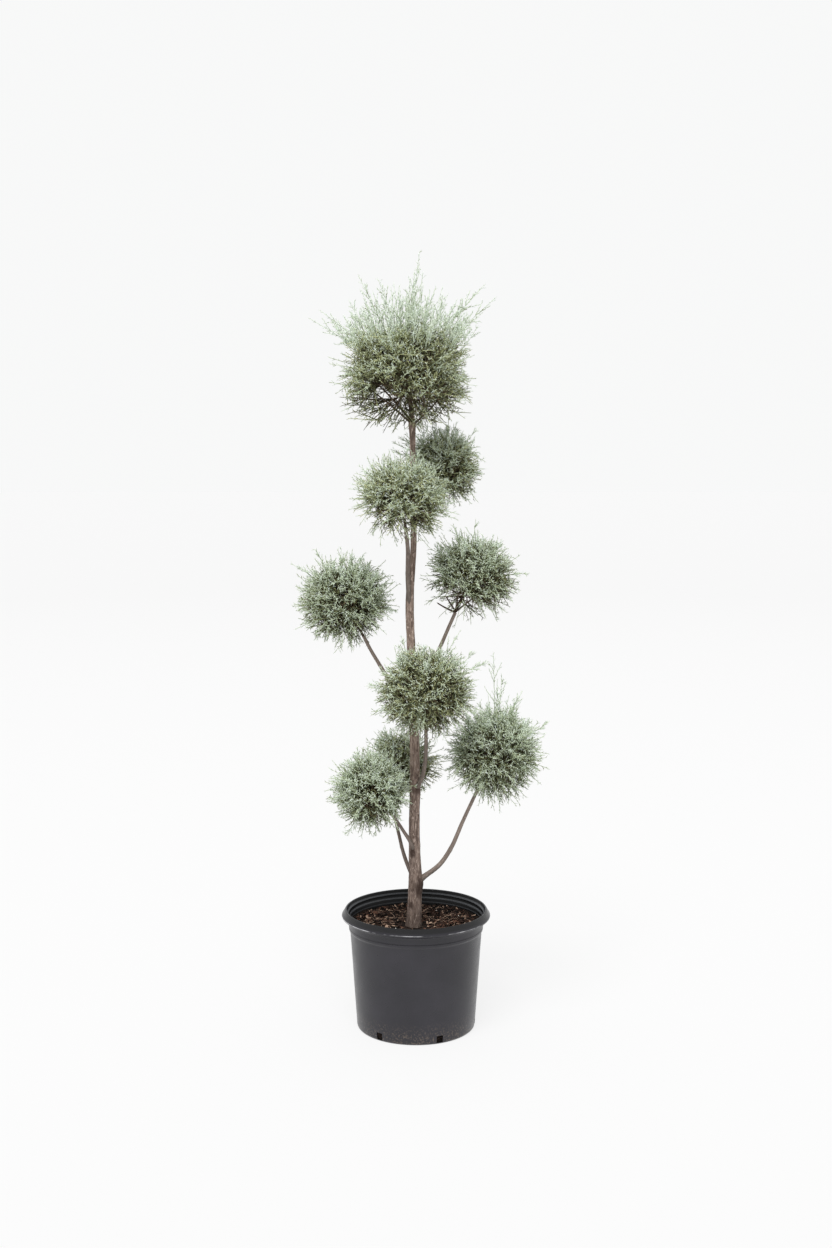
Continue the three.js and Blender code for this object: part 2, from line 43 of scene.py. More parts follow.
camera.data.sensor_fit = "VERTICAL"
camera.data.sensor_height = 36
camera.data.lens = 44.37
camera.location = (0, -3.6, 1.362)
camera.rotation_euler = (math.radians(83.849), 0, 0)
bpy.context.scene.collection.objects.link(camera)
bpy.context.scene.camera = camera

# Nursery pot
# A round container blow-moulded in black polyethylene: a tapering wall, a stepped collar, a rolled
# lip, stacking ridges inside, and rectangular drain notches cut through the foot.
MM = 0.001
POT_SIDES = 160
POT_PROFILE = [
    (0, 0), (60, 0), (118, 0), (135, 0), (138, 0.6), (140.2, 2.2), (141.5, 4.4), (142.2, 7), (144.4, 40),
    (148.2, 95), (152.2, 155), (156, 210), (157.7, 234), (158.2, 236.6), (159.4, 238.6), (160.6, 239.8),
    (161, 241.6), (161.2, 245.6), (160.5, 246.4), (160.6, 247.2), (161.5, 248), (162, 261), (162.6, 263),
    (164.4, 264.6), (168, 266), (173.6, 268), (176.6, 270), (177.7, 271.6), (178, 272.8), (177.8, 274),
    (177, 275.4), (175.6, 277.4), (173.6, 280.6), (171.4, 284.4), (169.8, 287), (168.8, 287.8),
    (167.8, 288), (166.6, 287.4), (166, 286), (165, 280.4), (161.9, 277), (161.4, 269.4), (158.7, 266.2),
    (158.3, 259), (157, 256.4), (156.6, 242), (154.6, 235.8), (147, 110), (139.6, 2.6), (60, 2.6), (0, 2.6),
]
POT_TOP = (167.8, 288)
POT_CREASE = 38
# The painted highlight along the lip's edge: its height and half width
LIP_HEIGHT = 273.4
LIP_EDGE = 0.9
LIP_DARK = (275, 279)
DUST_LEVELS = (55, 4)
NOTCH_COUNT = 6
NOTCH_FIRST_ANGLE = -127
NOTCH_MIDDLE = (142, 0, 11.9)
NOTCH_SIZE = (24, 16, 18.2)
SAME_POINT = 0.01
BOX_CORNERS = np.array([
    (-1, -1, -1), (1, -1, -1), (1, 1, -1), (-1, 1, -1), (-1, -1, 1), (1, -1, 1), (1, 1, 1), (-1, 1, 1)])
BOX_SIDES = np.array([(0, 3, 2, 1), (4, 5, 6, 7), (0, 1, 5, 4), (1, 2, 6, 5), (2, 3, 7, 6), (3, 0, 4, 7)])


def mesh_piece(name, points, faces, materials, face_materials=None, caps=()):
    """A smooth mesh object from points in millimetres, an array of faces, and caps of any size."""
    corners = np.concatenate([faces.ravel(), *caps]).astype(np.int32)
    sizes = np.array([faces.shape[1]] * len(faces) + [len(cap) for cap in caps], dtype=np.int32)
    mesh = bpy.data.meshes.new(name)
    mesh.vertices.add(len(points))
    mesh.vertices.foreach_set("co", (np.asarray(points) * MM).astype(np.float32).ravel())
    mesh.loops.add(len(corners))
    mesh.loops.foreach_set("vertex_index", corners)
    mesh.polygons.add(len(sizes))
    mesh.polygons.foreach_set("loop_start", (np.cumsum(sizes) - sizes).astype(np.int32))
    for material in materials:
        mesh.materials.append(material)
    if face_materials is not None:
        mesh.polygons.foreach_set("material_index", np.asarray(face_materials, dtype=np.int32))
    mesh.update(calc_edges=True)
    mesh.shade_smooth()
    piece = bpy.data.objects.new(name, mesh)
    bpy.context.scene.collection.objects.link(piece)
    return piece


def standing_for(piece, slot, *nodes):
    """Lets a piece ride with the plant in place of its solids."""
    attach(piece, "root")
    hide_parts(*nodes)
    return piece


def ring_faces(rings, sides):
    """Quads between neighbouring rings of equally many points."""
    ring, side = np.meshgrid(np.arange(rings - 1), np.arange(sides), indexing="ij")
    here = ring * sides + side
    beside = ring * sides + (side + 1) % sides
    return np.stack([here, beside, beside + sides, here + sides], axis=-1).reshape(-1, 4)


def turned(profile, sides):
    """Points and faces of a profile of radius and height turned about the upright axis."""
    angles = np.linspace(0, 2 * np.pi, sides, endpoint=False)
    radius, height = np.array(profile, dtype=float).T
    points = np.stack([
        radius[:, None] * np.cos(angles), radius[:, None] * np.sin(angles),
        np.repeat(height[:, None], sides, axis=1)], axis=-1)
    return points.reshape(-1, 3), ring_faces(len(profile), sides)


def shader(name, roughness, specular):
    """A new material with its node tree and its main shader."""
    material = bpy.data.materials.new(name)
    material.use_nodes = True
    main = material.node_tree.nodes["Principled BSDF"]
    main.inputs["Roughness"].default_value = roughness
    main.inputs["Specular IOR Level"].default_value = specular
    return material, material.node_tree, main


def node(tree, kind, links=None, **values):
    """A shader node with its settings, and its inputs by name or number."""
    made = tree.nodes.new(kind)
    for key, value in values.items():
        setattr(made, key, value)
    for socket, source in (links or {}).items():
        if isinstance(source, bpy.types.NodeSocket):
            tree.links.new(source, made.inputs[socket])
        else:
            made.inputs[socket].default_value = source
    return made


def ramp(tree, value, start, end, low=0.0, high=1.0):
    """A value that goes from low to high while another goes from start to end."""
    limits = {"From Min": start, "From Max": end, "To Min": low, "To Max": high}
    return node(tree, "ShaderNodeMapRange", {"Value": value, **limits}).outputs["Result"]


def reckoned(tree, operation, *values):
    """The result of one sum on numbers."""
    return node(tree, "ShaderNodeMath", dict(enumerate(values)), operation=operation).outputs["Value"]


# Where a mix node has its sockets for colours, after those for numbers and vectors
MIX_FIRST = 6
MIX_SECOND = 7
MIX_RESULT = 2


def blended(tree, mask, first, second):
    """A colour that goes from the first to the second by a mask."""
    mixed = {"Factor": mask, MIX_FIRST: first, MIX_SECOND: second}
    return node(tree, "ShaderNodeMix", mixed, data_type="RGBA").outputs[MIX_RESULT]


def colour(red, green, blue):
    """A colour given as it looks on a screen, from 0 to 255, as linear light."""
    shares = [value / 255 for value in (red, green, blue)]
    linear = [s / 12.92 if s <= 0.04045 else ((s + 0.055) / 1.055) ** 2.4 for s in shares]
    return (*linear, 1)


def effect(name, numbers, output, kind):
    """A new node group that takes a vector and numbers and has one output, with the sockets it takes."""
    group = bpy.data.node_groups.new(name, "ShaderNodeTree")
    group.interface.new_socket("Vector", in_out="INPUT", socket_type="NodeSocketVector")
    for label in numbers:
        group.interface.new_socket(label, in_out="INPUT", socket_type="NodeSocketFloat")
    group.interface.new_socket(output, in_out="OUTPUT", socket_type="NodeSocket" + kind)
    return group, node(group, "NodeGroupInput").outputs


def placed(tree, group, vector, **numbers):
    """Places an effect in a material with its own numbers, and gives what it puts out."""
    return node(tree, "ShaderNodeGroup", {"Vector": vector, **numbers}, node_tree=group).outputs[0]


# Soft patches that come and go over a surface, between two levels of a noise
mottle, taken = effect("mottle", ("Scale", "From", "To"), "Mask", "Float")
cloud = node(mottle, "ShaderNodeTexNoise", {
    "Vector": taken["Vector"], "Scale": taken["Scale"], "Detail": 5.0, "Roughness": 0.6}).outputs["Fac"]
node(mottle, "NodeGroupOutput", {"Mask": ramp(mottle, cloud, taken["From"], taken["To"])})

# Fine relief from a noise: the ripple of plastic, crumbs of soil and fissures of bark
fine_relief, taken = effect("fine_relief", ("Scale", "Detail", "Strength", "Distance"), "Normal", "Vector")
bumps = node(fine_relief, "ShaderNodeTexNoise", {
    "Vector": taken["Vector"], "Scale": taken["Scale"], "Detail": taken["Detail"]}).outputs["Fac"]
raised = node(fine_relief, "ShaderNodeBump", {
    "Height": bumps, "Strength": taken["Strength"], "Distance": taken["Distance"]}).outputs["Normal"]
node(fine_relief, "NodeGroupOutput", {"Normal": raised})


def patches(tree, vector, scale, start, end):
    """The mask of soft patches of some scale, between two levels."""
    return placed(tree, mottle, vector, Scale=scale, From=start, To=end)


# Inside the pot: the plastic's own black, painted darker still as shade from the pot's depth, and grey on
# faces that look up, the stacking ledges, as a painted highlight
INNER_BLACK_AND_SHADE = colour(12, 13, 14)
LEDGE_HIGHLIGHT_GREY = colour(78, 80, 83)
inner_plastic, tree, main = shader("inner_plastic", 0.34, 0.22)
facing = node(tree, "ShaderNodeNewGeometry").outputs["True Normal"]
upward = node(tree, "ShaderNodeSeparateXYZ", {"Vector": facing}).outputs["Z"]
ledge_highlight = ramp(tree, upward, 0.3, 0.6)
tree.links.new(blended(tree, ledge_highlight, INNER_BLACK_AND_SHADE, LEDGE_HIGHLIGHT_GREY), main.inputs["Base Color"])

WALL_BLACK = colour(32, 31, 37)
WALL_BLOOM = colour(43, 41, 48)
LIP_BLACK = colour(15, 15, 17)
GLINT_GREY = colour(190, 190, 192)
DUST_BROWN = colour(104, 92, 82)
black_plastic, tree, main = shader("black_plastic", 0.42, 0.5)
place = node(tree, "ShaderNodeTexCoord").outputs["Object"]
height = node(tree, "ShaderNodeSeparateXYZ", {"Vector": place}).outputs["Z"]
wall = blended(tree, patches(tree, place, 9, 0.42, 0.75), WALL_BLACK, WALL_BLOOM)
high_up = ramp(tree, height, LIP_DARK[0] * MM, LIP_DARK[1] * MM)
wall = blended(tree, high_up, wall, LIP_BLACK)
# A thin pale grey line in patches along the lip's edge: a painted highlight for glints of light on the lip
off_edge = reckoned(tree, "ABSOLUTE", reckoned(tree, "SUBTRACT", height, LIP_HEIGHT * MM))
on_edge = ramp(tree, off_edge, LIP_EDGE * MM, 0.5 * LIP_EDGE * MM)
painted_glints = reckoned(tree, "MULTIPLY", on_edge, patches(tree, place, 11, 0.44, 0.56))
wall = blended(tree, painted_glints, wall, GLINT_GREY)
low_down = ramp(tree, height, DUST_LEVELS[0] * MM, DUST_LEVELS[1] * MM)
dust = reckoned(tree, "MULTIPLY", low_down, patches(tree, place, 230, 0.52, 0.66))
tree.links.new(blended(tree, dust, wall, DUST_BROWN), main.inputs["Base Color"])
gloss = ramp(tree, patches(tree, place, 34, 0.3, 0.7), 0.0, 1.0, 0.25, 0.36)
tree.links.new(gloss, main.inputs["Roughness"])
ripple = placed(tree, fine_relief, place, Scale=420, Detail=3, Strength=0.12, Distance=0.0006)
tree.links.new(ripple, main.inputs["Normal"])

points, faces = turned(POT_PROFILE, POT_SIDES)
inside = np.arange(len(faces)) // POT_SIDES >= POT_PROFILE.index(POT_TOP)
pot = mesh_piece("pot_shell", points, faces, [black_plastic, inner_plastic], inside)
turns = np.radians(NOTCH_FIRST_ANGLE + np.arange(NOTCH_COUNT) * 360 / NOTCH_COUNT)[:, None]
outward, across, up = (np.array(NOTCH_MIDDLE) + BOX_CORNERS * NOTCH_SIZE / 2).T
points = np.stack([
    outward * np.cos(turns) - across * np.sin(turns), outward * np.sin(turns) + across * np.cos(turns),
    up + np.zeros_like(turns)], axis=-1)
faces = np.arange(NOTCH_COUNT)[:, None, None] * len(BOX_CORNERS) + BOX_SIDES
cutter = mesh_piece("notches", points.reshape(-1, 3), faces.reshape(-1, 4), [])
cutter.data.shade_flat()
merge = pot.modifiers.new("merge", "WELD")
merge.merge_threshold = SAME_POINT * MM
cut = pot.modifiers.new("notches", "BOOLEAN")
cut.operation = "DIFFERENCE"
cut.solver = "EXACT"
cut.object = cutter
bpy.context.view_layer.update()
finished = bpy.data.meshes.new_from_object(pot.evaluated_get(bpy.context.evaluated_depsgraph_get()))
pot.modifiers.clear()
pot.data = finished
pot.data.set_sharp_from_angle(angle=math.radians(POT_CREASE))
bpy.data.objects.remove(cutter)
standing_for(pot, "pot", "pot")

# Bark mix
# Composted bark that fills the pot: a dark, lumpy bed with loose chips, shreds and fibres of bark on
# it, thrown on by hand and settled by watering.
SOIL_RADIUS = 157.5
SOIL_LEVEL = 250
SOIL_UNDERSIDE = 236
SOIL_RISE = 4
SOIL_RINGS = 60
SOIL_SIDES = 180
SOIL_LUMPS = [(3.2, 31, 4), (1.8, 11, 5), (0.9, 4.2, 6)]
SOIL_SHIFT = 90
FOOT_MIX = [(122, 3), (138.2, 3), (139.4, 25), (122, 25), (122, 3)]
TRUNK_FOOT = np.array([-5.0, -21.0])
FOOT_RADIUS = 23
FOOT_CALM = 30
FOOT_LUMPS = 0.25
chance = np.random.default_rng(11)


def lattice_noise(u, v, seed, period=0):
    """Smooth noise from -1 to 1 over a plane, which may repeat along its first direction."""
    table = np.random.default_rng(seed).uniform(-1, 1, (256, 256))
    column, row = np.floor(u).astype(int), np.floor(v).astype(int)
    across, along = u - column, v - row
    across = across * across * (3 - 2 * across)
    along = along * along * (3 - 2 * along)
    wrap = period or 256
    left, right = column % wrap, (column + 1) % wrap
    low, high = row % 256, (row + 1) % 256
    lower = table[left, low] * (1 - across) + table[right, low] * across
    upper = table[left, high] * (1 - across) + table[right, high] * across
    return lower * (1 - along) + upper * along


def soil_height(x, y):
    """The level of the bed at a place: lumps of three sizes, flatter by the trunk and higher by the pot."""
    large, middling, small = [
        height * lattice_noise(x / width + SOIL_SHIFT, y / width + SOIL_SHIFT, seed)
        for height, width, seed in SOIL_LUMPS]
    out = np.hypot(x, y) / SOIL_RADIUS
    off_trunk = np.clip((np.hypot(x - TRUNK_FOOT[0], y - TRUNK_FOOT[1]) - FOOT_RADIUS) / FOOT_CALM, 0, 1)
    lumps = (large + middling) * (FOOT_LUMPS + (1 - FOOT_LUMPS) * off_trunk) + small
    return SOIL_LEVEL + SOIL_RISE * out ** 2 + lumps


DAMP_BLACK = colour(12, 9, 8)
DAMP_BROWN = colour(30, 23, 20)
CRUMB_BROWN = colour(74, 59, 49)
bark_mix, tree, main = shader("bark_mix", 0.95, 0.15)
place = node(tree, "ShaderNodeTexCoord").outputs["Object"]
dark_base = blended(tree, patches(tree, place, 55, 0.35, 0.65), DAMP_BLACK, DAMP_BROWN)
crumbly = blended(tree, patches(tree, place, 330, 0.52, 0.7), dark_base, CRUMB_BROWN)
tree.links.new(crumbly, main.inputs["Base Color"])
crumbs = placed(tree, fine_relief, place, Scale=600, Detail=4, Strength=0.6, Distance=0.001)
tree.links.new(crumbs, main.inputs["Normal"])

reaches = SOIL_RADIUS * np.linspace(0.004, 1, SOIL_RINGS)
top = [(0.0, SOIL_LEVEL)] + [(reach, SOIL_LEVEL) for reach in reaches]
points, faces = turned(top + [(SOIL_RADIUS, SOIL_UNDERSIDE), (0, SOIL_UNDERSIDE)], SOIL_SIDES)
on_top = points[:, 2] > SOIL_LEVEL - 1
points[on_top, 2] = soil_height(points[on_top, 0], points[on_top, 1])
points[:SOIL_SIDES, 2] = points[SOIL_SIDES:2 * SOIL_SIDES, 2].mean()
bed = mesh_piece("soil_bed", points, faces[:, ::-1], [bark_mix])
standing_for(bed, "soil", "soil")
points, faces = turned(FOOT_MIX, SOIL_SIDES)
foot_mix = mesh_piece("soil_at_notches", points, faces, [bark_mix])
standing_for(foot_mix, "soil", "soil")


def unit(vectors):
    """Vectors scaled to a length of one."""
    return vectors / np.linalg.norm(vectors, axis=-1, keepdims=True)


def side_ways(directions):
    """Two directions square to each given one and to each other."""
    upright = np.abs(directions[..., 2:3]) > 0.9
    reference = np.where(upright, np.array([0.0, 1, 0]), np.array([0.0, 0, 1]))
    side = unit(np.cross(directions, reference))
    return side, np.cross(directions, side)


def soil_places(count, margin):
    """Places strewn over the bed, clear of the pot and of the trunk's foot."""
    angle = chance.uniform(0, 2 * np.pi, 2 * count)
    reach = (SOIL_RADIUS - margin) * np.sqrt(chance.uniform(0, 1, 2 * count))
    x, y = reach * np.cos(angle), reach * np.sin(angle)
    clear = np.hypot(x - TRUNK_FOOT[0], y - TRUNK_FOOT[1]) > FOOT_RADIUS + margin
    return np.stack([x, y], axis=-1)[clear][:count]


def loose_colours(count, shares):
    """A material number for each loose bit, dealt out by share."""
    return chance.choice(len(shares), count, p=np.array(shares) / sum(shares))


def plain_materials(tones, roughness, specular):
    """One plain material for each named tone."""
    made = []
    for name, tone in tones.items():
        material, tree, main = shader(name, roughness, specular)
        main.inputs["Base Color"].default_value = colour(*tone)
        made.append(material)
    return made


class Bundle:
    """Many small bodies of a kind, gathered to be joined into one mesh."""

    def __init__(self):
        self.points, self.faces, self.tones, self.total = [], [], [], 0

    def add(self, points, pattern, tones):
        """Takes in bodies with like triangles, and one material number for all or for each."""
        count, corners = points.shape[:2]
        starts = self.total + np.arange(count) * corners
        self.points.append(points.reshape(-1, 3))
        self.faces.append((starts[:, None, None] + pattern).reshape(-1, 3))
        self.tones.append(np.repeat(np.broadcast_to(tones, count), len(pattern)))
        self.total += count * corners

    def joined(self, name, materials):
        """The one mesh of all the bodies."""
        points, faces, tones = [np.concatenate(parts) for parts in (self.points, self.faces, self.tones)]
        return mesh_piece(name, points, faces, materials, tones)


def strewn(name, points, pattern, materials, tones):
    """Loose bits of a kind that lie on the bed, as one piece."""
    bits = Bundle()
    bits.add(points, pattern, tones)
    return standing_for(bits.joined(name, materials), "soil", "soil")


BIT_COLOURS = {"bark_dark": (18, 14, 13), "bark_brown": (58, 44, 38), "bark_red": (90, 64, 52),
               "bark_tan": (158, 134, 116), "white_grain": (226, 222, 214)}
*bark_bits, white_grain = plain_materials(BIT_COLOURS, 0.9, 0.2)

# Chips are split pieces of bark, flat and ragged
CHIP_COUNT = 2300
CHIP_MARGIN = 9
CHIP_LENGTH = (4, 17)
CHIP_SHORTER = (0.5, 1)
CHIP_SLIMNESS = (0.25, 0.7)
CHIP_THICKNESS = (1, 3.4)
CHIP_SLOPE = (1, 1, 0.32)
CHIP_TILT = 0.45
CHIP_LIFT = (-0.6, 2.2)
CHIP_RAGGED = (0.45, 1.15)
CHIP_SHARES = (48, 28, 14, 10)
flat_place = soil_places(CHIP_COUNT, CHIP_MARGIN)
count = len(flat_place)
length = chance.uniform(*CHIP_LENGTH, count) * chance.uniform(*CHIP_SHORTER, count)
width = length * chance.uniform(*CHIP_SLIMNESS, count)
size = np.stack([length, width, chance.uniform(*CHIP_THICKNESS, count)], axis=-1) / 2
along = unit(chance.normal(size=(3, count)).T * CHIP_SLOPE)
side, up = side_ways(along)
tilt = chance.normal(0, CHIP_TILT, count)[:, None]
side, up = side * np.cos(tilt) + up * np.sin(tilt), up * np.cos(tilt) - side * np.sin(tilt)
centre = np.column_stack([flat_place, soil_height(*flat_place.T) + chance.uniform(*CHIP_LIFT, count)])
corners = BOX_CORNERS * chance.uniform(*CHIP_RAGGED, (count, *BOX_CORNERS.shape)) * size[:, None]
points = centre[:, None] + corners @ np.stack([along, side, up], axis=1)
halves = BOX_SIDES[:, [0, 1, 2, 0, 2, 3]].reshape(-1, 3)
chips = strewn("soil_chips", points, halves, bark_bits, loose_colours(count, CHIP_SHARES))
chips.data.shade_flat()


def strands(paths, radii):
    """Three-sided strands along paths of points, closed at the root and pointed at the tip."""
    count, steps = paths.shape[:2]
    side, other = side_ways(unit(paths[:, -1] - paths[:, 0]))
    turns = np.arange(3) * 2 * np.pi / 3
    spokes = np.cos(turns)[None, :, None] * side[:, None] + np.sin(turns)[None, :, None] * other[:, None]
    rings = paths[:, :-1, None, :] + radii[:, :, None, None] * spokes[:, None]
    points = np.concatenate([rings.reshape(count, 3 * (steps - 1), 3), paths[:, -1:]], axis=1)
    pattern = [(0, 2, 1)]
    for ring in range(steps - 2):
        for i in range(3):
            a, b = 3 * ring + i, 3 * ring + (i + 1) % 3
            pattern += [(a, b, b + 3), (a, b + 3, a + 3)]
    last = 3 * (steps - 2)
    pattern += [(last + i, last + (i + 1) % 3, 3 * (steps - 1)) for i in range(3)]
    return points, np.array(pattern)


# Fibres are long shreds that lie across the chips
FIBRE_COUNT = 420
FIBRE_MARGIN = 24
FIBRE_LENGTH = (10, 38)
FIBRE_CURL = 0.7
FIBRE_STEPS = 5
FIBRE_LIFT = (1.2, 3.2)
FIBRE_WAVE = 0.8
FIBRE_RADIUS = (0.35, 0.95)
FIBRE_SHARES = (10, 26, 30, 34)
flat_place = soil_places(FIBRE_COUNT, FIBRE_MARGIN)
count = len(flat_place)
length = chance.uniform(*FIBRE_LENGTH, count)[:, None]
angle = chance.uniform(0, 2 * np.pi, count)[:, None]
shares = np.linspace(-0.5, 0.5, FIBRE_STEPS)
heading = angle + chance.normal(0, FIBRE_CURL, count)[:, None] * shares
x = flat_place[:, :1] + length * shares * np.cos(heading)
y = flat_place[:, 1:] + length * shares * np.sin(heading)
lift = chance.uniform(*FIBRE_LIFT, (count, 1)) + chance.normal(0, FIBRE_WAVE, (count, FIBRE_STEPS))
radii = chance.uniform(*FIBRE_RADIUS, (count, 1)) * np.ones((1, FIBRE_STEPS - 1))
paths = np.stack([x, y, soil_height(x, y) + lift], axis=-1)
strewn("soil_fibres", *strands(paths, radii), bark_bits, loose_colours(count, FIBRE_SHARES))

# Grains of perlite are the few white specks
GRAIN_COUNT = 7
GRAIN_MARGIN = 30
GRAIN_LIFT = 2
GRAIN_RADIUS = (1.2, 2.4)
GRAIN_CORNERS = np.array([(1, 0, 0), (0, 1, 0), (-1, 0, 0), (0, -1, 0), (0, 0, 1), (0, 0, -1)])
GRAIN_SIDES = np.array([
    (0, 1, 4), (1, 2, 4), (2, 3, 4), (3, 0, 4), (1, 0, 5), (2, 1, 5), (3, 2, 5), (0, 3, 5)])
flat_place = soil_places(GRAIN_COUNT, GRAIN_MARGIN)
centre = np.column_stack([flat_place, soil_height(*flat_place.T) + GRAIN_LIFT])
radii = chance.uniform(*GRAIN_RADIUS, (len(centre), len(GRAIN_CORNERS), 1))
strewn("soil_grains", centre[:, None] + GRAIN_CORNERS * radii, GRAIN_SIDES, [white_grain], 0)

# Trunk and boughs
# One slender, leaning stem and its eight limbs, in thin reddish-grey bark that parts into long upright
# strips. Limbs leave the trunk from a swollen collar, and old cuts have healed into knots.
TRUNK_STATIONS = [
    (-5, -21, 250.3, 17.5), (-2, -17, 347, 15.5), (-4, -10, 462, 13), (-3, -2, 666, 11.5),
    (-11, 0, 912, 10), (-15, 3, 1026, 9.7), (-6, 7, 1153, 7), (-8, 2, 1396, 6.6), (-9, 1, 1445, 8.4),
]
TRUNK_RINGS = 480
CURVE_STEPS = 60
ROOT_FLARE = 0.1
ROOT_FLARE_HEIGHT = 26
ROOT_LOBES = 5
BOUGH_COLLAR = 0.8
BOUGH_COLLAR_SHARE = 0.16
BOUGH_SEAT = 0.8
BOUGH_END = 0.9
BOUGHS = [
    dict(place="low_right", leaves=354, thick=12.5, thin=7.6,
         bends=[(22, -16, 372), (57, -13, 399), (86, -11, 443), (110, -8, 499)]),
    dict(place="low_back", leaves=356, thick=10, thin=6.6,
         bends=[(-26, 14, 406), (-40, 39, 453), (-50, 64, 500)]),
    dict(place="low_left", leaves=428, thick=10, thin=6.6,
         bends=[(-9, -25, 447), (-17, -26, 463), (-27, -24, 478), (-45, -31, 508)]),
    dict(place="mid_front", leaves=572, thick=11.5, thin=7.6,
         bends=[(16, -24, 618), (23, -42, 672)]),
    dict(place="mid_left", leaves=716, thick=11, thin=7.6,
         bends=[(-42, -5, 803), (-71, -4, 853), (-104, -1, 908)]),
    dict(place="mid_right", leaves=762, thick=11, thin=7.6,
         bends=[(26, 7, 849), (59, 14, 922), (80, 18, 970)]),
    dict(place="upper_front", leaves=1012, thick=12.5, thin=8.5,
         bends=[(-19, -12, 1085), (-19, -23, 1150)]),
    dict(place="upper_back", leaves=1196, thick=9.5, thin=6.6,
         bends=[(14, 28, 1246), (34, 50, 1280)]),
]

# The clipped masses that the trunk and the boughs carry: the heart of each and its reach from there
MASSES = {
    "crown": ((-23, 0, 1552), (152, 142, 118)),
    "ball_upper_back": ((66, 96, 1341), (90, 90, 90)),
    "ball_upper_front": ((-30, -92, 1274), (108, 92, 94)),
    "ball_mid_left": ((-167, 0, 1028), (110, 102, 102)),
    "ball_mid_right": ((130, 25, 1082), (106, 102, 100)),
    "ball_mid_front": ((23, -97, 831), (112, 96, 101)),
    "ball_low_left": ((-106, -58, 588), (93, 90, 96)),
    "ball_low_back": ((-29, 98, 617), (96, 84, 83)),
    "ball_low_right": ((188, 0, 668), (110, 104, 108)),
}
masses = {name: dict(heart=np.array(heart, dtype=float), reach=np.array(reach, dtype=float))
          for name, (heart, reach) in MASSES.items()}


def share_of_reach(mass, places):
    """How far out of a mass's heart places lie, as a share of its reach."""
    return np.linalg.norm((places - mass["heart"]) / mass["reach"], axis=-1)


def smooth_curve(stations, count):
    """Evenly spaced points along a centripetal curve through stations, with whatever else they hold."""
    stations = np.array(stations, dtype=float)
    ends = [2 * stations[:1] - stations[1:2], stations, 2 * stations[-1:] - stations[-2:-1]]
    padded = np.concatenate(ends)
    dense = []
    for i in range(1, len(padded) - 2):
        a, b, c, d = padded[i - 1:i + 3]
        gaps = [np.sqrt(np.linalg.norm((q - p)[:3])) for p, q in ((a, b), (b, c), (c, d))]
        start = (b - a) / gaps[0] - (c - a) / (gaps[0] + gaps[1]) + (c - b) / gaps[1]
        end = (c - b) / gaps[1] - (d - b) / (gaps[1] + gaps[2]) + (d - c) / gaps[2]
        start, end = start * gaps[1], end * gaps[1]
        t = np.linspace(0, 1, CURVE_STEPS, endpoint=False)[:, None]
        square, cube = 3 * (c - b) - 2 * start - end, 2 * (b - c) + start + end
        dense.append(b + start * t + square * t ** 2 + cube * t ** 3)
    dense = np.concatenate(dense + [stations[-1:]])
    steps = np.linalg.norm(np.diff(dense[:, :3], axis=0), axis=1)
    travelled = np.concatenate([[0], np.cumsum(steps)])
    even = np.linspace(0, travelled[-1], count)
    return np.stack([np.interp(even, travelled, column) for column in dense.T], axis=-1), travelled[-1]


trunk_line, trunk_length = smooth_curve(TRUNK_STATIONS, TRUNK_RINGS)


def trunk_at(height):
    """The trunk's axis and radius at a height."""
    return np.array([np.interp(height, trunk_line[:, 2], column) for column in trunk_line.T])


BARK_STEP = 2.6
BARK_SIDES = 44
BARK_CREASE = 60
FEWEST_STRIPS = 6
STRIPS_PER_MM = 1.1
STRIP_WANDER = 0.35
WANDER_LENGTH = 60
RELIEF_RADIUS = 10
KNOT_MIDDLE = 0.45


def bark_relief(round_about, along, radius, seed):
    """How far the bark stands out: long strips that part, and fine cracks between them."""
    strips = max(FEWEST_STRIPS, int(radius * STRIPS_PER_MM))
    wander = STRIP_WANDER * np.sin(along / WANDER_LENGTH + seed)
    turn = (round_about / (2 * np.pi) + wander / strips) * strips

    def ridges(finer, length, own_seed):
        return lattice_noise((turn * finer) % (finer * strips), along / length, own_seed, finer * strips)

    cracks = -np.abs(ridges(2, 70, seed + 2)) ** 0.5
    return 0.5 * ridges(1, 46, seed) + 0.3 * ridges(3, 17, seed + 1) + 0.5 * (cracks + 0.6)


def bark_limb(name, skin, line, girth, relief_depth, seed, knots):
    """A limb with bark and knots along a line of points, its ends closed flat."""
    count = len(line)
    heading = unit(np.gradient(line, axis=0))
    side = np.zeros_like(line)
    side[0] = side_ways(heading[:1])[0][0]
    for i in range(1, count):
        carried = side[i - 1] - heading[i] * np.dot(side[i - 1], heading[i])
        side[i] = carried / np.linalg.norm(carried)
    other = np.cross(heading, side)
    travelled = np.concatenate([[0], np.cumsum(np.linalg.norm(np.diff(line, axis=0), axis=1))])
    angles = np.linspace(0, 2 * np.pi, BARK_SIDES, endpoint=False)
    along, angle = np.meshgrid(travelled, angles, indexing="ij")
    reach = girth(along, angle)
    depth = relief_depth * np.sqrt(reach / RELIEF_RADIUS)
    reach = reach + depth * bark_relief(angle, along, reach.mean(), seed)
    for at, turn, size, height, hollow in knots:
        apart = np.hypot(along - at, reach * ((angle - turn + np.pi) % (2 * np.pi) - np.pi))
        reach = reach + height * np.exp(-(apart / size) ** 2)
        reach = reach - hollow * height * np.exp(-(apart / (KNOT_MIDDLE * size)) ** 2)
    spokes = np.cos(angle)[..., None] * side[:, None] + np.sin(angle)[..., None] * other[:, None]
    points = line[:, None] + reach[..., None] * spokes
    root_cap = np.arange(BARK_SIDES)
    caps = [root_cap[::-1], root_cap + (count - 1) * BARK_SIDES]
    piece = mesh_piece(name, points.reshape(-1, 3), ring_faces(count, BARK_SIDES), [skin], caps=caps)
    piece.data.set_sharp_from_angle(angle=math.radians(BARK_CREASE))
    grain = np.stack([reach * np.cos(angle), reach * np.sin(angle), along], axis=-1)
    layer = piece.data.attributes.new("grain", "FLOAT_VECTOR", "POINT")
    layer.data.foreach_set("vector", (grain * MM).astype(np.float32).ravel())
    return piece


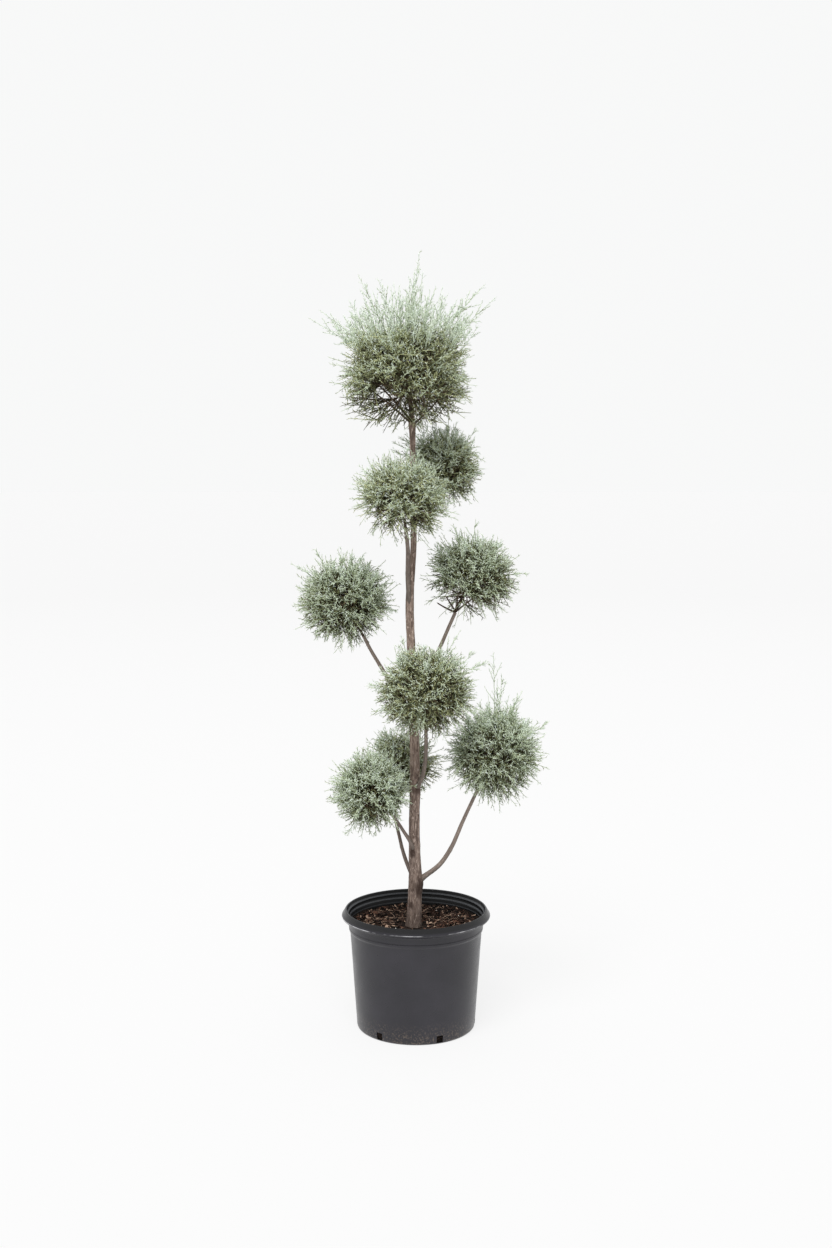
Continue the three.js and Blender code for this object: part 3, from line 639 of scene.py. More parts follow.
BARK_DARK = colour(74, 58, 51)
BARK_MIDDLE = colour(132, 114, 104)
BARK_PALE = colour(178, 160, 149)
BARK_FLECK_AND_SHADE = colour(54, 41, 36)
BARK_EVEN = colour(134, 122, 113)
STRIP_STRETCH = (1, 1, 0.07)
FLAKE_STRETCH = (1, 1, 0.36)
DARK_SPOT_STRETCH = (1, 1, 0.6)
DARK_SPOT_CORE = 0.45
DARK_SPOT_STRENGTH = 0.8
# Dark spots on the trunk, each a middle and a size: the largest, just under the low right bough's collar,
# is painted shade; the others are stains
TRUNK_STAINS_AND_SHADE = [((9, -31, 346), 19), ((-13, -35, 306), 9), ((-8, -25, 430), 10), ((2, -12, 580), 13)]


def reckoned_vector(tree, operation, *values):
    """The vector and the value of one sum on vectors, as sockets."""
    return node(tree, "ShaderNodeVectorMath", dict(enumerate(values)), operation=operation).outputs


def bark_skin(name, even, strength, stains_and_shade=()):
    """Bark in long strips, with flakes and flecks over them and dark spots of stain and of painted shade in
    places, paler higher up by painted light and darker at its foot by painted shade.
    """
    material, tree, main = shader(name, 0.85, 0.25)
    grain = node(tree, "ShaderNodeAttribute", attribute_name="grain").outputs["Vector"]
    strips = node(tree, "ShaderNodeMapping", {"Vector": grain, "Scale": STRIP_STRETCH}).outputs["Vector"]
    flakes = node(tree, "ShaderNodeMapping", {"Vector": grain, "Scale": FLAKE_STRETCH}).outputs["Vector"]
    tone = BARK_DARK
    for vector, scale, start, end, tint in [
            (strips, 210, 0.38, 0.62, BARK_MIDDLE), (strips, 620, 0.54, 0.68, BARK_PALE),
            (flakes, 120, 0.53, 0.63, BARK_DARK), (flakes, 210, 0.56, 0.66, BARK_PALE),
            (grain, 300, 0.6, 0.68, BARK_FLECK_AND_SHADE)]:
        tone = blended(tree, patches(tree, vector, scale, start, end), tone, tint)
    tone = blended(tree, even, tone, BARK_EVEN)
    place = node(tree, "ShaderNodeTexCoord").outputs["Object"]
    # Dark spots towards the fleck colour: stains, and under the low right bough a painted shade
    for middle, size in stains_and_shade:
        apart = reckoned_vector(tree, "SUBTRACT", place, [value * MM for value in middle])["Vector"]
        apart = reckoned_vector(tree, "MULTIPLY", apart, DARK_SPOT_STRETCH)["Vector"]
        apart = reckoned_vector(tree, "LENGTH", apart)["Value"]
        near = ramp(tree, apart, size * MM, DARK_SPOT_CORE * size * MM, 0.0, DARK_SPOT_STRENGTH)
        tone = blended(tree, near, tone, BARK_FLECK_AND_SHADE)
    # Painted light makes the bark paler higher up, and painted shade darkens the first 6 cm of the trunk
    # and of each bough
    up = node(tree, "ShaderNodeSeparateXYZ", {"Vector": grain}).outputs["Z"]
    painted_light_above = ramp(tree, up, 0.14, 0.46, 1.0, 1.6)
    dark_base = ramp(tree, up, 0.0, 0.06, 0.62, 1.0)
    light = reckoned(tree, "MULTIPLY", painted_light_above, dark_base)
    lit = node(tree, "ShaderNodeHueSaturation", {"Saturation": strength, "Value": light, "Color": tone})
    tree.links.new(lit.outputs["Color"], main.inputs["Base Color"])
    fissures = placed(tree, fine_relief, strips, Scale=900, Detail=4, Strength=0.6, Distance=0.001)
    tree.links.new(fissures, main.inputs["Normal"])
    return material


trunk_skin = bark_skin("trunk_skin", 0.18, 1.0, TRUNK_STAINS_AND_SHADE)
bough_skin = bark_skin("bough_skin", 0.6, 0.9)


def trunk_girth(along, angle):
    """The trunk's radius, swelling into root lobes near the soil."""
    height = trunk_line[0, 2] + along * (trunk_line[-1, 2] - trunk_line[0, 2]) / trunk_length
    radius = np.interp(height, trunk_line[:, 2], trunk_line[:, 3])
    flare = ROOT_FLARE * np.exp((trunk_line[0, 2] - height) / ROOT_FLARE_HEIGHT)
    return radius * (1 + flare * (1 + 0.5 * np.cos(ROOT_LOBES * angle)))


# Each knot has its place along the limb, its turn round it, its size, its height and how hollow it is
TRUNK_KNOTS = [
    (55, 1.2, 7, 1.6, 0.7), (62, 4.2, 7, 1.4, 0.7), (104, 2.9, 20, 4.6, 0), (150, 5.6, 6, 1.2, 0.7),
    (180, 1.3, 8, 2.2, 0.9), (196, 3.4, 7, 1.3, 0.7), (326, 2.5, 16, 2.4, 0), (330, 4.9, 6, 1.1, 0.7),
    (505, 2.2, 5, 1.0, 0.7), (604, 5.3, 5, 0.9, 0.7), (742, 4.2, 5, 0.9, 0.7),
]
BOUGH_KNOTS = [(0.42, 1.0, 4, 0.9, 0.7), (0.7, 3.1, 3.5, 0.7, 0.7)]
TRUNK_RELIEF = 1.2
TRUNK_SEED = 21
BOUGH_RELIEF = 0.6
BOUGH_SEED = 40
trunk = bark_limb(
    "trunk_bark", trunk_skin, trunk_line[:, :3], trunk_girth, TRUNK_RELIEF, TRUNK_SEED, TRUNK_KNOTS)
standing_for(trunk, "bark", "trunk")

# Beads are places along the limbs with the limb's radius, which foliage stays off
BEAD_STEP = 7
TOP_BEAD = 1438
limb_beads = [trunk_at(height) for height in np.arange(trunk_line[0, 2], TOP_BEAD, BEAD_STEP)]
for number, bough in enumerate(BOUGHS):
    mass = masses["ball_" + bough["place"]]
    last = np.array(bough["bends"][-1], dtype=float)
    end = last + (mass["heart"] - last) * (1 - BOUGH_END / share_of_reach(mass, last))
    stations = [trunk_at(bough["leaves"])[:3], *bough["bends"], end]
    length = smooth_curve(stations, 2)[1]
    line = smooth_curve(stations, int(length / BARK_STEP))[0]
    thick, thin = bough["thick"] / 2, bough["thin"] / 2
    swell = min(BOUGH_COLLAR, BOUGH_SEAT * trunk_at(bough["leaves"])[3] / thick - 1)

    def girth(along, angle):
        share = along / length
        collar = swell * np.maximum(0, 1 - share / BOUGH_COLLAR_SHARE) ** 2
        return (thick + (thin - thick) * share) * (1 + collar)

    name = "bough_" + bough["place"]
    knots = [(length * share, turn + number, *form) for share, turn, *form in BOUGH_KNOTS]
    limb = bark_limb(
        name + "_bark", bough_skin, line, girth, BOUGH_RELIEF, BOUGH_SEED + number, knots)
    standing_for(limb, "bark", name)
    mass["entry"] = (line[-1], unit(line[-1] - line[-2]), thin)
    shares = np.linspace(0, 1, int(length / BEAD_STEP) + 2)
    for share, place in zip(shares, smooth_curve(stations, len(shares))[0]):
        limb_beads.append(np.array([*place, float(girth(share * length, 0.0))]))
masses["crown"]["entry"] = (trunk_line[-1, :3], np.array([0.0, 0, 1]), trunk_line[-1, 3])
limb_beads = np.array(limb_beads)

# Foliage
# Each clipped mass grows on from the end of its limb: a stem, limbs spread by the golden angle, twigs,
# then straight shoots set all round with cords of tiny scale leaves. The shears keep the outline round,
# and young shoots stand out of it.
GOLDEN_ANGLE = math.pi * (3 - math.sqrt(5))

# How each mass grows: the seed of its draws, its number of limbs, how much taller it is upwards, and the
# tips of its longest shoots. Some have fresher or cooler leaves, hang lower, show bare limbs as a list of
# roots and one of tips, or have a wider bare space round the stem. Below the level in thin, the two shares
# of inner and outer shoots are lost. A sparse side has a direction, a start along it and a level
PLAIN_BALL = dict(
    bare_limbs=((), ()), fresher=0, cool=False, hangs=0, bare_entry=8, thin=(-0.3, 0.4, 0.4), sparse=None,
    low_shade=0.1, low_jitter=0.17, low_twigs=1, young_band=1, square=False, gap=None)
GROWTH = {
    "crown": dict(
        seed=3, limbs=26, lift=0.72, hangs=0.13, bare_entry=14, thin=(-0.1, 0.68, 0.2),
        sparse=((0, 0, -1), -1500, 0.28), low_shade=0.05, low_jitter=0.2, low_twigs=1.22, young_band=0.2,
        square=True, gap=dict(middle=(-62, 1490), along=(-0.68, 0.73), long=56, wide=14, ragged=0.45),
        tips=[(9, -6, 1837), (-136, 22, 1788), (-88, -34, 1772), (48, 40, 1762), (163, 12, 1765),
              (186, -22, 1731), (-249, -8, 1684), (-226, 30, 1706), (-18, 96, 1748), (-20, -92, 1742),
              (-176, 12, 1470), (143, -18, 1528), (-2, 8, 1796), (16, -10, 1788), (-14, -6, 1772),
              (140, -6, 1742), (158, 16, 1700)],
        bare_limbs=[[(-9, 0, 1440), (-9, -1, 1443), (-6, 0, 1441)],
                    [(-104, -22, 1518), (-92, -26, 1535), (50, -24, 1494)]]),
    "ball_upper_back": dict(
        seed=5, limbs=9, lift=0.1, fresher=0.02,
        tips=[(146, 92, 1432), (74, 100, 1441), (156, 108, 1328), (-60, 92, 1403), (-43, 88, 1415),
              (-28, 94, 1422), (-62, 90, 1384), (22, 90, 1446), (44, 98, 1458), (98, 94, 1450)]),
    "ball_upper_front": dict(
        seed=8, limbs=10, lift=0, fresher=0.07, hangs=0.16, sparse=((-0.5, 0, -0.87), -1048, 0.25),
        tips=[(-144, -96, 1256), (-130, -88, 1346), (88, -100, 1262), (-100, -104, 1190),
              (-52, -84, 1388), (-18, -78, 1390), (10, -84, 1384)]),
    "ball_mid_left": dict(
        seed=13, limbs=10, lift=0.08, fresher=0.02, cool=True, hangs=0.09,
        tips=[(-294, 6, 1116), (-236, -14, 1152), (-176, 10, 1157), (-288, -12, 962), (-40, 8, 1006),
              (-152, 14, 902)]),
    "ball_mid_right": dict(
        seed=21, limbs=10, lift=0.1, fresher=-0.03, cool=True, hangs=0.05, bare_entry=44,
        sparse=((-0.6, 0, -0.8), -904, 0.1),
        tips=[(141, 20, 1223), (88, 34, 1205), (270, 22, 1092), (18, 18, 1016), (194, 30, 974)],
        bare_limbs=[[(93, 20, 1000), (93, 20, 1001), (94, 20, 1002), (93, 19, 1001)],
                    [(48, -12, 1026), (98, -34, 1062), (142, -26, 1046), (70, -38, 1042)]]),
    "ball_mid_front": dict(
        seed=34, limbs=10, lift=0.08, fresher=-0.03, hangs=0.13, thin=(-0.6, 0.1, 0.1),
        tips=[(135, -92, 923), (-116, -104, 842), (104, -90, 972), (168, -100, 900), (-34, -84, 958)]),
    "ball_low_left": dict(
        seed=55, limbs=10, lift=0, fresher=0.06, cool=True, hangs=0.07,
        tips=[(-210, -62, 566), (-162, -66, 480), (-128, -58, 474), (-94, -64, 480)]),
    "ball_low_back": dict(
        seed=89, limbs=9, lift=0.06, sparse=((1, 0, 0), 14, 0.05),
        tips=[(-96, 110, 682), (66, 104, 634), (-122, 98, 684), (-104, 94, 704), (-80, 92, 712)]),
    "ball_low_right": dict(
        seed=144, limbs=10, lift=0.1, fresher=0.04, cool=True, hangs=0.13, thin=(-0.5, 0.2, 0.15),
        tips=[(182, -10, 912), (203, 14, 857), (253, -18, 820), (319, 6, 743), (70, 6, 626),
              (200, 10, 516), (192, 4, 846), (170, -8, 812), (222, 8, 806), (236, -12, 796),
              (150, -14, 792)]),
}
for name, mass in masses.items():
    mass.update({**PLAIN_BALL, **GROWTH[name]})

# The outline that the shears leave, with its lumps and the crown's square shoulders
LIFT_POWER = 0.7
CUP_POWERS = (3, 4)
LUMPS = 16
LUMP_HEIGHT = 0.075
LUMP_WIDTH = 0.4
SPARSE_RHYTHM = np.array([1.7, 2.3, 1.9])
BARE_STEM_SHARE = 0.6
SPACE_LIMIT = 1.2
SPACE_MARGIN = 0.05
YOUNG_CLEARANCE = 1.15
NEAR_MASS = 330


def leaning(direction, lean, turn):
    """Directions that lean away from others by some radians, turned round them."""
    side, other = side_ways(direction)
    lean, turn = np.asarray(lean)[..., None], np.asarray(turn)[..., None]
    return direction * np.cos(lean) + (side * np.cos(turn) + other * np.sin(turn)) * np.sin(lean)


def out_point(mass, directions, share):
    """The points at a share of the reach in some directions, which is longer upwards."""
    lift = 1 + mass["lift"] * np.maximum(0, directions[..., 2]) ** LIFT_POWER
    return mass["heart"] + directions * mass["reach"] * (np.asarray(share) * lift)[..., None]


def cup_stretch(mass, directions):
    """How much further the clipped outline reaches at lumps, where it hangs and at square shoulders."""
    rough = np.random.default_rng(mass["seed"])
    lumps = unit(rough.normal(size=(LUMPS, 3)))
    heights = rough.choice([-LUMP_HEIGHT, LUMP_HEIGHT], LUMPS)
    stretch = 1 + np.exp((directions @ lumps.T - 1) / (LUMP_WIDTH ** 2 / 2)) @ heights
    rise = directions[:, 2]
    stretch = stretch * (1 + mass["hangs"] * np.maximum(0, -rise))
    if not mass["square"]:
        return stretch
    flat = np.hypot(directions[:, 0], directions[:, 1])
    power = np.where(rise > 0, CUP_POWERS[1], CUP_POWERS[0])
    return stretch * (flat ** power + np.abs(rise) ** power) ** (-1 / power)


def clipped_point(mass, directions, share):
    """The points at a share of the clipped outline in some directions."""
    return mass["heart"] + directions * mass["reach"] * (share * cup_stretch(mass, directions))[:, None]


def in_own_space(mass, places, young=False):
    """Whether places lie in the mass's own space, or young shoots at least outside every other mass."""
    own = share_of_reach(mass, places)
    fits = young | (own < SPACE_LIMIT * (1 + mass["lift"]))
    for other in masses.values():
        if other is not mass:
            apart = share_of_reach(other, places)
            fits = fits & ((own < apart - SPACE_MARGIN) | (young & (apart > YOUNG_CLEARANCE)))
    return fits


def clear_of_limbs(mass, roots, tips, radius):
    """Whether straight twigs stay off every limb that comes near the mass."""
    near = limb_beads[np.linalg.norm(limb_beads[:, :3] - mass["heart"], axis=1) < NEAR_MASS]
    along = tips - roots
    squared = np.maximum((along ** 2).sum(-1), 1e-9)
    clear = np.ones(len(roots), dtype=bool)
    for bead in near:
        share = np.clip(((bead[:3] - roots) * along).sum(-1) / squared, 0, 1)
        apart = np.linalg.norm(roots + along * share[:, None] - bead[:3], axis=-1)
        clear &= apart > bead[3] + radius
    return clear


def fitting(mass, roots, tips, radius, young=False):
    """Whether twigs keep to their mass's space and off the limbs."""
    return in_own_space(mass, tips, young) & clear_of_limbs(mass, roots, tips, radius)


def in_gap(mass, places):
    """Whether places lie in the slot through a mass, where only bare limbs cross."""
    gap = mass["gap"]
    if gap is None:
        return np.zeros(len(places), dtype=bool)
    x, z = (places[:, [0, 2]] - gap["middle"]).T
    run, rise = gap["along"]
    across = np.hypot((x * run + z * rise) / gap["long"], (x * rise - z * run) / gap["wide"])
    return across + gap["ragged"] * np.sin(places @ SPARSE_RHYTHM) < 1


def leafless(mass, places):
    """Whether places bear no leaves: round the stem's lower end, in a gap, or by turns on a sparse side."""
    entry, heart = mass["entry"][0], mass["heart"]
    share = (places - entry) @ (heart - entry) / ((heart - entry) ** 2).sum()
    share = np.clip(share, 0, BARE_STEM_SHARE)[:, None]
    bare = np.linalg.norm(entry + share * (heart - entry) - places, axis=-1) < mass["bare_entry"]
    if mass["sparse"]:
        way, start, level = mass["sparse"]
        bare |= (places @ np.array(way) > start) & (np.sin(places @ SPARSE_RHYTHM) > level)
    return bare | in_gap(mass, places)


def along_paths(roots, tips, bow, share):
    """Points at shares along paths that bow by a vector in the middle."""
    share = np.asarray(share)[..., None]
    straight = roots[:, None] * (1 - share) + tips[:, None] * share
    return straight + 4 * share * (1 - share) * bow[:, None]


# A strand's last ring before its point, as a share of its length
LAST_RING = 0.94


def tapered(roots, tips, bow, thick, thin, steps):
    """Bowed strands that taper from one radius to another."""
    shares = np.append(np.linspace(0, LAST_RING, steps - 1), 1)[None] * np.ones((len(roots), 1))
    radii = np.linspace(thick, thin, steps - 1)[None] * np.ones((len(roots), 1))
    return strands(along_paths(roots, tips, bow, shares), radii)


def even_ways(count, chance):
    """Directions spread evenly all round by the golden angle, from the top down, each a little off."""
    order = np.arange(count)
    rise = 1 - (2 * order + 1) / count
    turn = order * GOLDEN_ANGLE + chance.uniform(0, 2 * np.pi)
    flat = np.sqrt(1 - rise ** 2)
    ways = np.stack([flat * np.cos(turn), flat * np.sin(turn), rise], axis=-1)
    return unit(ways + chance.normal(0, 1 / math.sqrt(count), ways.shape))


def grown_from(mass, parents, ways, leaves, chance):
    """The places where new twigs leave the parent twigs nearest to their directions."""
    roots, tips, bow = parents
    nearest = np.argmax(ways @ unit((tips - mass["heart"]) / mass["reach"]).T, axis=1)
    share = chance.uniform(*leaves, (len(ways), 1))
    return along_paths(roots[nearest], tips[nearest], bow[nearest], share)[:, 0]


# Leaf colours: pale at the outline and on young shoots, mossy, shaded and dead inside
LEAF_TONES = {
    "leaf_mint": (230, 241, 229), "leaf_pale": (224, 235, 214), "leaf_frost": (211, 224, 199),
    "leaf_sage": (210, 221, 188), "leaf_blue": (188, 200, 168), "leaf_olive": (190, 194, 146),
    "leaf_moss": (132, 136, 96), "leaf_shade": (86, 88, 62), "leaf_dead": (104, 88, 68),
}
WARM_TONES = ["leaf_dead", "leaf_shade", "leaf_moss", "leaf_olive", "leaf_sage", "leaf_pale", "leaf_mint"]
COOL_TONES = ["leaf_dead", "leaf_shade", "leaf_moss", "leaf_blue", "leaf_frost", "leaf_pale", "leaf_mint"]
TONE_STEPS = [0.47, 0.65, 0.77, 0.87, 0.97, 1.08]
TONE_NOISE = 0.06
TONE_AT = 0.6
TONE_SHIFTS = (-2, -1, 0, 1, 2)
TONE_SHIFT_SHARES = (0.15, 0.18, 0.35, 0.22, 0.1)
YOUNG_STEPS = [0.18, 0.42]
HIGH_LIGHT = 0.1
TWIG_TONES = {"twig_brown": (84, 70, 58), "twig_olive": (104, 100, 74), "twig_green": (168, 178, 146)}
TWIG_STEPS = [0.66, 0.84]
twig_materials = plain_materials(TWIG_TONES, 0.6, 0.25)
leaf_materials = plain_materials(LEAF_TONES, 0.6, 0.25)
tone_number = {name: number for number, name in enumerate(LEAF_TONES)}


def own_tones(mass, kind, places, chance, shifts):
    """A leaf tone for each spray: pale at the outline, mossy and dead inside, paler at the top by painted
    light and darker below by painted shade.
    """
    out = (places - mass["heart"]) / mass["reach"]
    light = np.linalg.norm(out, axis=-1) / cup_stretch(mass, unit(out)) + mass["fresher"]
    # Painted light and shade: tones rise towards the top and fall towards the underside
    light = light + np.clip(out[:, 2], -1, 1) * np.where(out[:, 2] < 0, mass["low_shade"], HIGH_LIGHT)
    steps = np.digitize(light + chance.normal(0, TONE_NOISE, len(places)), TONE_STEPS)
    steps = np.clip(kind.get("tone", steps) + shifts, 0, len(TONE_STEPS))
    names = COOL_TONES if mass["cool"] or "tone" in kind else WARM_TONES
    return np.array([tone_number[name] for name in names])[steps]


# The kinds of shoot: how many grow on each 1000 square mm, the shares of the twig and of the reach
# between which they start and end, the number, length, lean and radius of their cords, the share that is
# bare of cords, and the tone of young ones
CORE = dict(spread=10, leaves=(0.05, 0.7), reach=(0.12, 0.5), cords=7, cord=20, lean=0.9, slim=1.6)
INNER = dict(spread=26, leaves=(0.0, 0.7), reach=(0.42, 0.72), cords=8, cord=20, lean=0.9, slim=1.5)
OUTER = dict(
    spread=86, leaves=(0.15, 1.0), reach=(0.71, 1.05), cords=9, cord=13, lean=0.85, slim=1.1, bare=0.1)
SPRAY = dict(cords=15, cord=13, lean=0.85, slim=1.1)
YOUNG = dict(
    spread=18, leaves=(0.3, 1.0), reach=(0.98, 1.24), cords=8, cord=13, lean=0.75, slim=1.0, bare=0.3,
    tone=4)
TALL = dict(cords=30, cord=14, lean=0.68, slim=0.95, bare=0.1, tone=5, spacing=7)
FAN = dict(cords=9, cord=14, lean=0.68, slim=1.1, bare=0.1, tone=6)
SIDE = dict(cords=5, cord=11, lean=0.66, slim=1.0, bare=0.15, tone=5)

# Sizes of the cords on a shoot, and of the side cords on the longer ones
STEM_THICK = 0.9
STEM_THIN = 0.6
STEM_STEPS = 4
CORD_LONGEST = 1.2
CORD_SHORTENS = 0.6
CORD_LAST = 0.97
CORD_UPTURN = 0.08
CORD_LEAN_SPREAD = 0.15
CORD_VARIES = (0.6, 1.3)
CORD_GIRTH = (0.8, 1.1)
CORD_MARGIN = 1
CROWDED = 0.1
SIDE_CORD = 7
SIDE_CORD_FROM = 10.5
SIDE_CORD_LEAVES = (0.3, 0.7)
SIDE_CORD_LEAN = 0.75
SIDE_CORD_TURN = 6.3
SIDE_CORD_GIRTH = 1.1


def pointed(roots, tips, radius):
    """Cords of scale leaves: straight, three-sided and pointed."""
    return strands(np.stack([roots, tips], axis=1), radius[:, None])


def set_along(roots, tips, bow, count, between, lean, spread, chance):
    """The shares, places and directions of growths set all along bowed shoots by the golden angle."""
    share = (np.arange(count) + chance.uniform(0.1, 0.9, (len(roots), count))) / count
    share = between[0] + (between[1] - between[0]) * share
    places = along_paths(roots, tips, bow, share)
    heading = unit(tips - roots)[:, None] + np.zeros_like(places)
    turn = np.arange(count) * GOLDEN_ANGLE + chance.uniform(0, 2 * np.pi, (len(roots), 1))
    return share, places, leaning(heading, chance.normal(lean, spread, share.shape), turn)


def add_sprays(mass, bundle, roots, tips, bow, kind, chance):
    """Adds shoots as bowed strands, with cords all round each, and side cords on the longer cords."""
    slim, count = kind["slim"], kind["cords"]
    young, inner = "tone" in kind, kind in (CORE, INNER)
    one_darker = np.full(len(roots), -1)
    stem_tones = own_tones(mass, kind, (1 - TONE_AT) * roots + TONE_AT * tips, chance, one_darker)
    bundle.add(*tapered(roots, tips, bow, STEM_THICK * slim, STEM_THIN * slim, STEM_STEPS), stem_tones)
    between = (kind.get("bare", 0), CORD_LAST)
    share, bases, ways = set_along(roots, tips, bow, count, between, kind["lean"], CORD_LEAN_SPREAD, chance)
    ways = unit(ways + np.array([0, 0, CORD_UPTURN]))
    taper = CORD_LONGEST - CORD_SHORTENS * share
    long = kind["cord"] * taper * chance.uniform(*CORD_VARIES, share.shape)
    ends = (bases + ways * long[..., None]).reshape(-1, 3)
    bases = bases.reshape(-1, 3)
    kept = fitting(mass, bases, ends, CORD_MARGIN, young) & ~leafless(mass, ends) & ~in_gap(mass, bases)
    spaced = np.linalg.norm(tips - roots, axis=-1) / (kind.get("spacing", CROWDED) * count)
    kept &= chance.uniform(size=len(bases)) < np.repeat(spaced, count)
    forked = (long.ravel() > SIDE_CORD_FROM)[kept] & (not inner)
    bases, ends = bases[kept], ends[kept]
    shifts = chance.choice(TONE_SHIFTS, len(bases), p=TONE_SHIFT_SHARES)
    if young:
        shifts = shifts - len(YOUNG_STEPS) + np.digitize(share.ravel()[kept], YOUNG_STEPS)
    tones = own_tones(mass, kind, ends, chance, shifts)
    radius = slim * chance.uniform(*CORD_GIRTH, len(bases))
    bundle.add(*pointed(bases, ends, radius), tones)
    starts = bases + (ends - bases) * chance.uniform(*SIDE_CORD_LEAVES, (len(bases), 1))
    lean = chance.normal(SIDE_CORD_LEAN, CORD_LEAN_SPREAD, len(bases))
    aside = leaning(unit(ends - bases), lean, chance.uniform(0, SIDE_CORD_TURN, len(bases)))
    side_ends = starts + aside * (SIDE_CORD * chance.uniform(*CORD_VARIES, len(bases)))[:, None]
    kept = forked & fitting(mass, starts, side_ends, CORD_MARGIN, young)
    bundle.add(*pointed(starts[kept], side_ends[kept], SIDE_CORD_GIRTH * radius[kept]), tones[kept])


# Side shoots stand on the lower part of the longest young shoots
SIDE_SHOOT_BETWEEN = (0.15, 0.75)
SIDE_SHOOT_LEAN = 0.5
SIDE_SHOOT_SPREAD = 0.12
SIDE_SHOOT_VARIES = (0.7, 1.2)
SIDE_SHOOT_SPACING = 30
SIDE_SHOOT_SHARE = 0.5
SHORTEST_SIDE_SHOOT = 6
LONGEST_SIDE_SHOOT = 45
SHOOT_MARGIN = 1.5


def add_side_shoots(mass, bundle, starts, ends, bow, count, chance):
    """Adds some leafy side shoots to the lower part of each young shoot."""
    share, roots, ways = set_along(
        starts, ends, bow, count, SIDE_SHOOT_BETWEEN, SIDE_SHOOT_LEAN, SIDE_SHOOT_SPREAD, chance)
    roots, ways = roots.reshape(-1, 3), ways.reshape(-1, 3)
    tall = np.linalg.norm(ends - starts, axis=-1)[:, None]
    length = SIDE_SHOOT_SHARE * tall * (1 - share) + SHORTEST_SIDE_SHOOT
    length = length * chance.uniform(*SIDE_SHOOT_VARIES, share.shape)
    tips = roots + ways * np.minimum(LONGEST_SIDE_SHOOT, length).reshape(-1, 1)
    kept = fitting(mass, roots, tips, SHOOT_MARGIN, True)
    kept &= chance.uniform(size=len(roots)) < np.repeat(tall.ravel() / (SIDE_SHOOT_SPACING * count), count)
    roots, tips = roots[kept], tips[kept]
    add_sprays(mass, bundle, roots, tips, chance.normal(0, 1, roots.shape), SIDE, chance)


# Limbs and the first sprays on them follow the same rule, with the same seeds, as the solids
LIMB_SHARE = 0.66
LIMB_RADIUS = 3
LIMB_FIRST = 0.6
LIMB_JITTER = 0.7
LIMB_MARGIN = 2
SPRAYS_PER_LIMB = 3
SPRAY_FAN = 0.62
SPRAY_FAN_SPREAD = 0.5
SPRAY_FIRST = 0.8
SPRAY_LAST = 0.95
END_SPRAY_FAN = 0.2
SPRAY_SPREAD = 0.2
SPRAY_SHORTEST = 0.94


def seeded_draws(seed):
    """Random numbers from 0 to 1 that are the same on every run and in the solids."""
    state = seed
    while True:
        state = (state * 1664525 + 1013904223) % 4294967296
        yield state / 4294967296


def stem_at(mass, share):
    """A point along a mass's stem, which bends from the end of its limb to its heart."""
    entry, heading, entry_radius = mass["entry"]
    bend = entry + heading * np.linalg.norm(mass["heart"] - entry) / 2
    return entry * (1 - share) ** 2 + 2 * bend * share * (1 - share) + mass["heart"] * share ** 2


def grow_limbs(mass):
    """The limbs of a mass and the first sprays on them, by the same rule and draws as the solids."""
    draw = seeded_draws(mass["seed"])
    limb_lines, spray_lines = [], []
    for i in range(mass["limbs"]):
        rise = 1 - (2 * i + 1) / mass["limbs"]
        turn = i * GOLDEN_ANGLE + LIMB_JITTER * next(draw)
        flat = math.sqrt(1 - rise * rise)
        direction = np.array([flat * math.cos(turn), flat * math.sin(turn), rise])
        root = stem_at(mass, LIMB_FIRST + (1 - LIMB_FIRST) * next(draw))
        tip = out_point(mass, direction, LIMB_SHARE)
        if not fitting(mass, root[None], tip[None], LIMB_RADIUS + LIMB_MARGIN)[0]:
            continue
        limb_lines.append((root, tip))
        first_turn = 2 * math.pi * next(draw)
        for j in range(SPRAYS_PER_LIMB):
            spread = 1 + SPRAY_FAN_SPREAD * (next(draw) - 0.5)
            fan = END_SPRAY_FAN * 2 * (spread - 0.75) if j == 0 else SPRAY_FAN * spread
            leaves_at = SPRAY_FIRST + (SPRAY_LAST - SPRAY_FIRST) * next(draw)
            reaches_to = SPRAY_SHORTEST + SPRAY_SPREAD * next(draw)
            next(draw)  # only the solids use this one
            way = leaning(direction, fan, first_turn + j * GOLDEN_ANGLE)
            spray_lines.append((root + (tip - root) * leaves_at, out_point(mass, way, reaches_to)))
    return np.array(limb_lines).transpose(1, 0, 2), np.array(spray_lines).transpose(1, 0, 2)


# Twigs grow on from the limbs, evenly all round
STEM_POINTS = 8
LIMB_POINTS = 6
LIMB_END = 1.6
LIMB_BOW = 4
BARE_LIMB_END = 1.8
BARE_LIMB_BOW = 2
TWIG_POINTS = 5
TWIG_SPREAD = 13
TWIG_FIRST = (0.35, 0.95)
TWIG_REACH = (0.5, 0.74)
TWIG_RADIUS = 1.5
TWIG_END = 0.8
TWIG_BOW = 3
BROWN = 0


def mean_side(mass):
    """About how many thousand square millimetres a mass shows from a side."""
    x, y, z = mass["reach"]
    return (x * y + x * z + y * z) / 3000


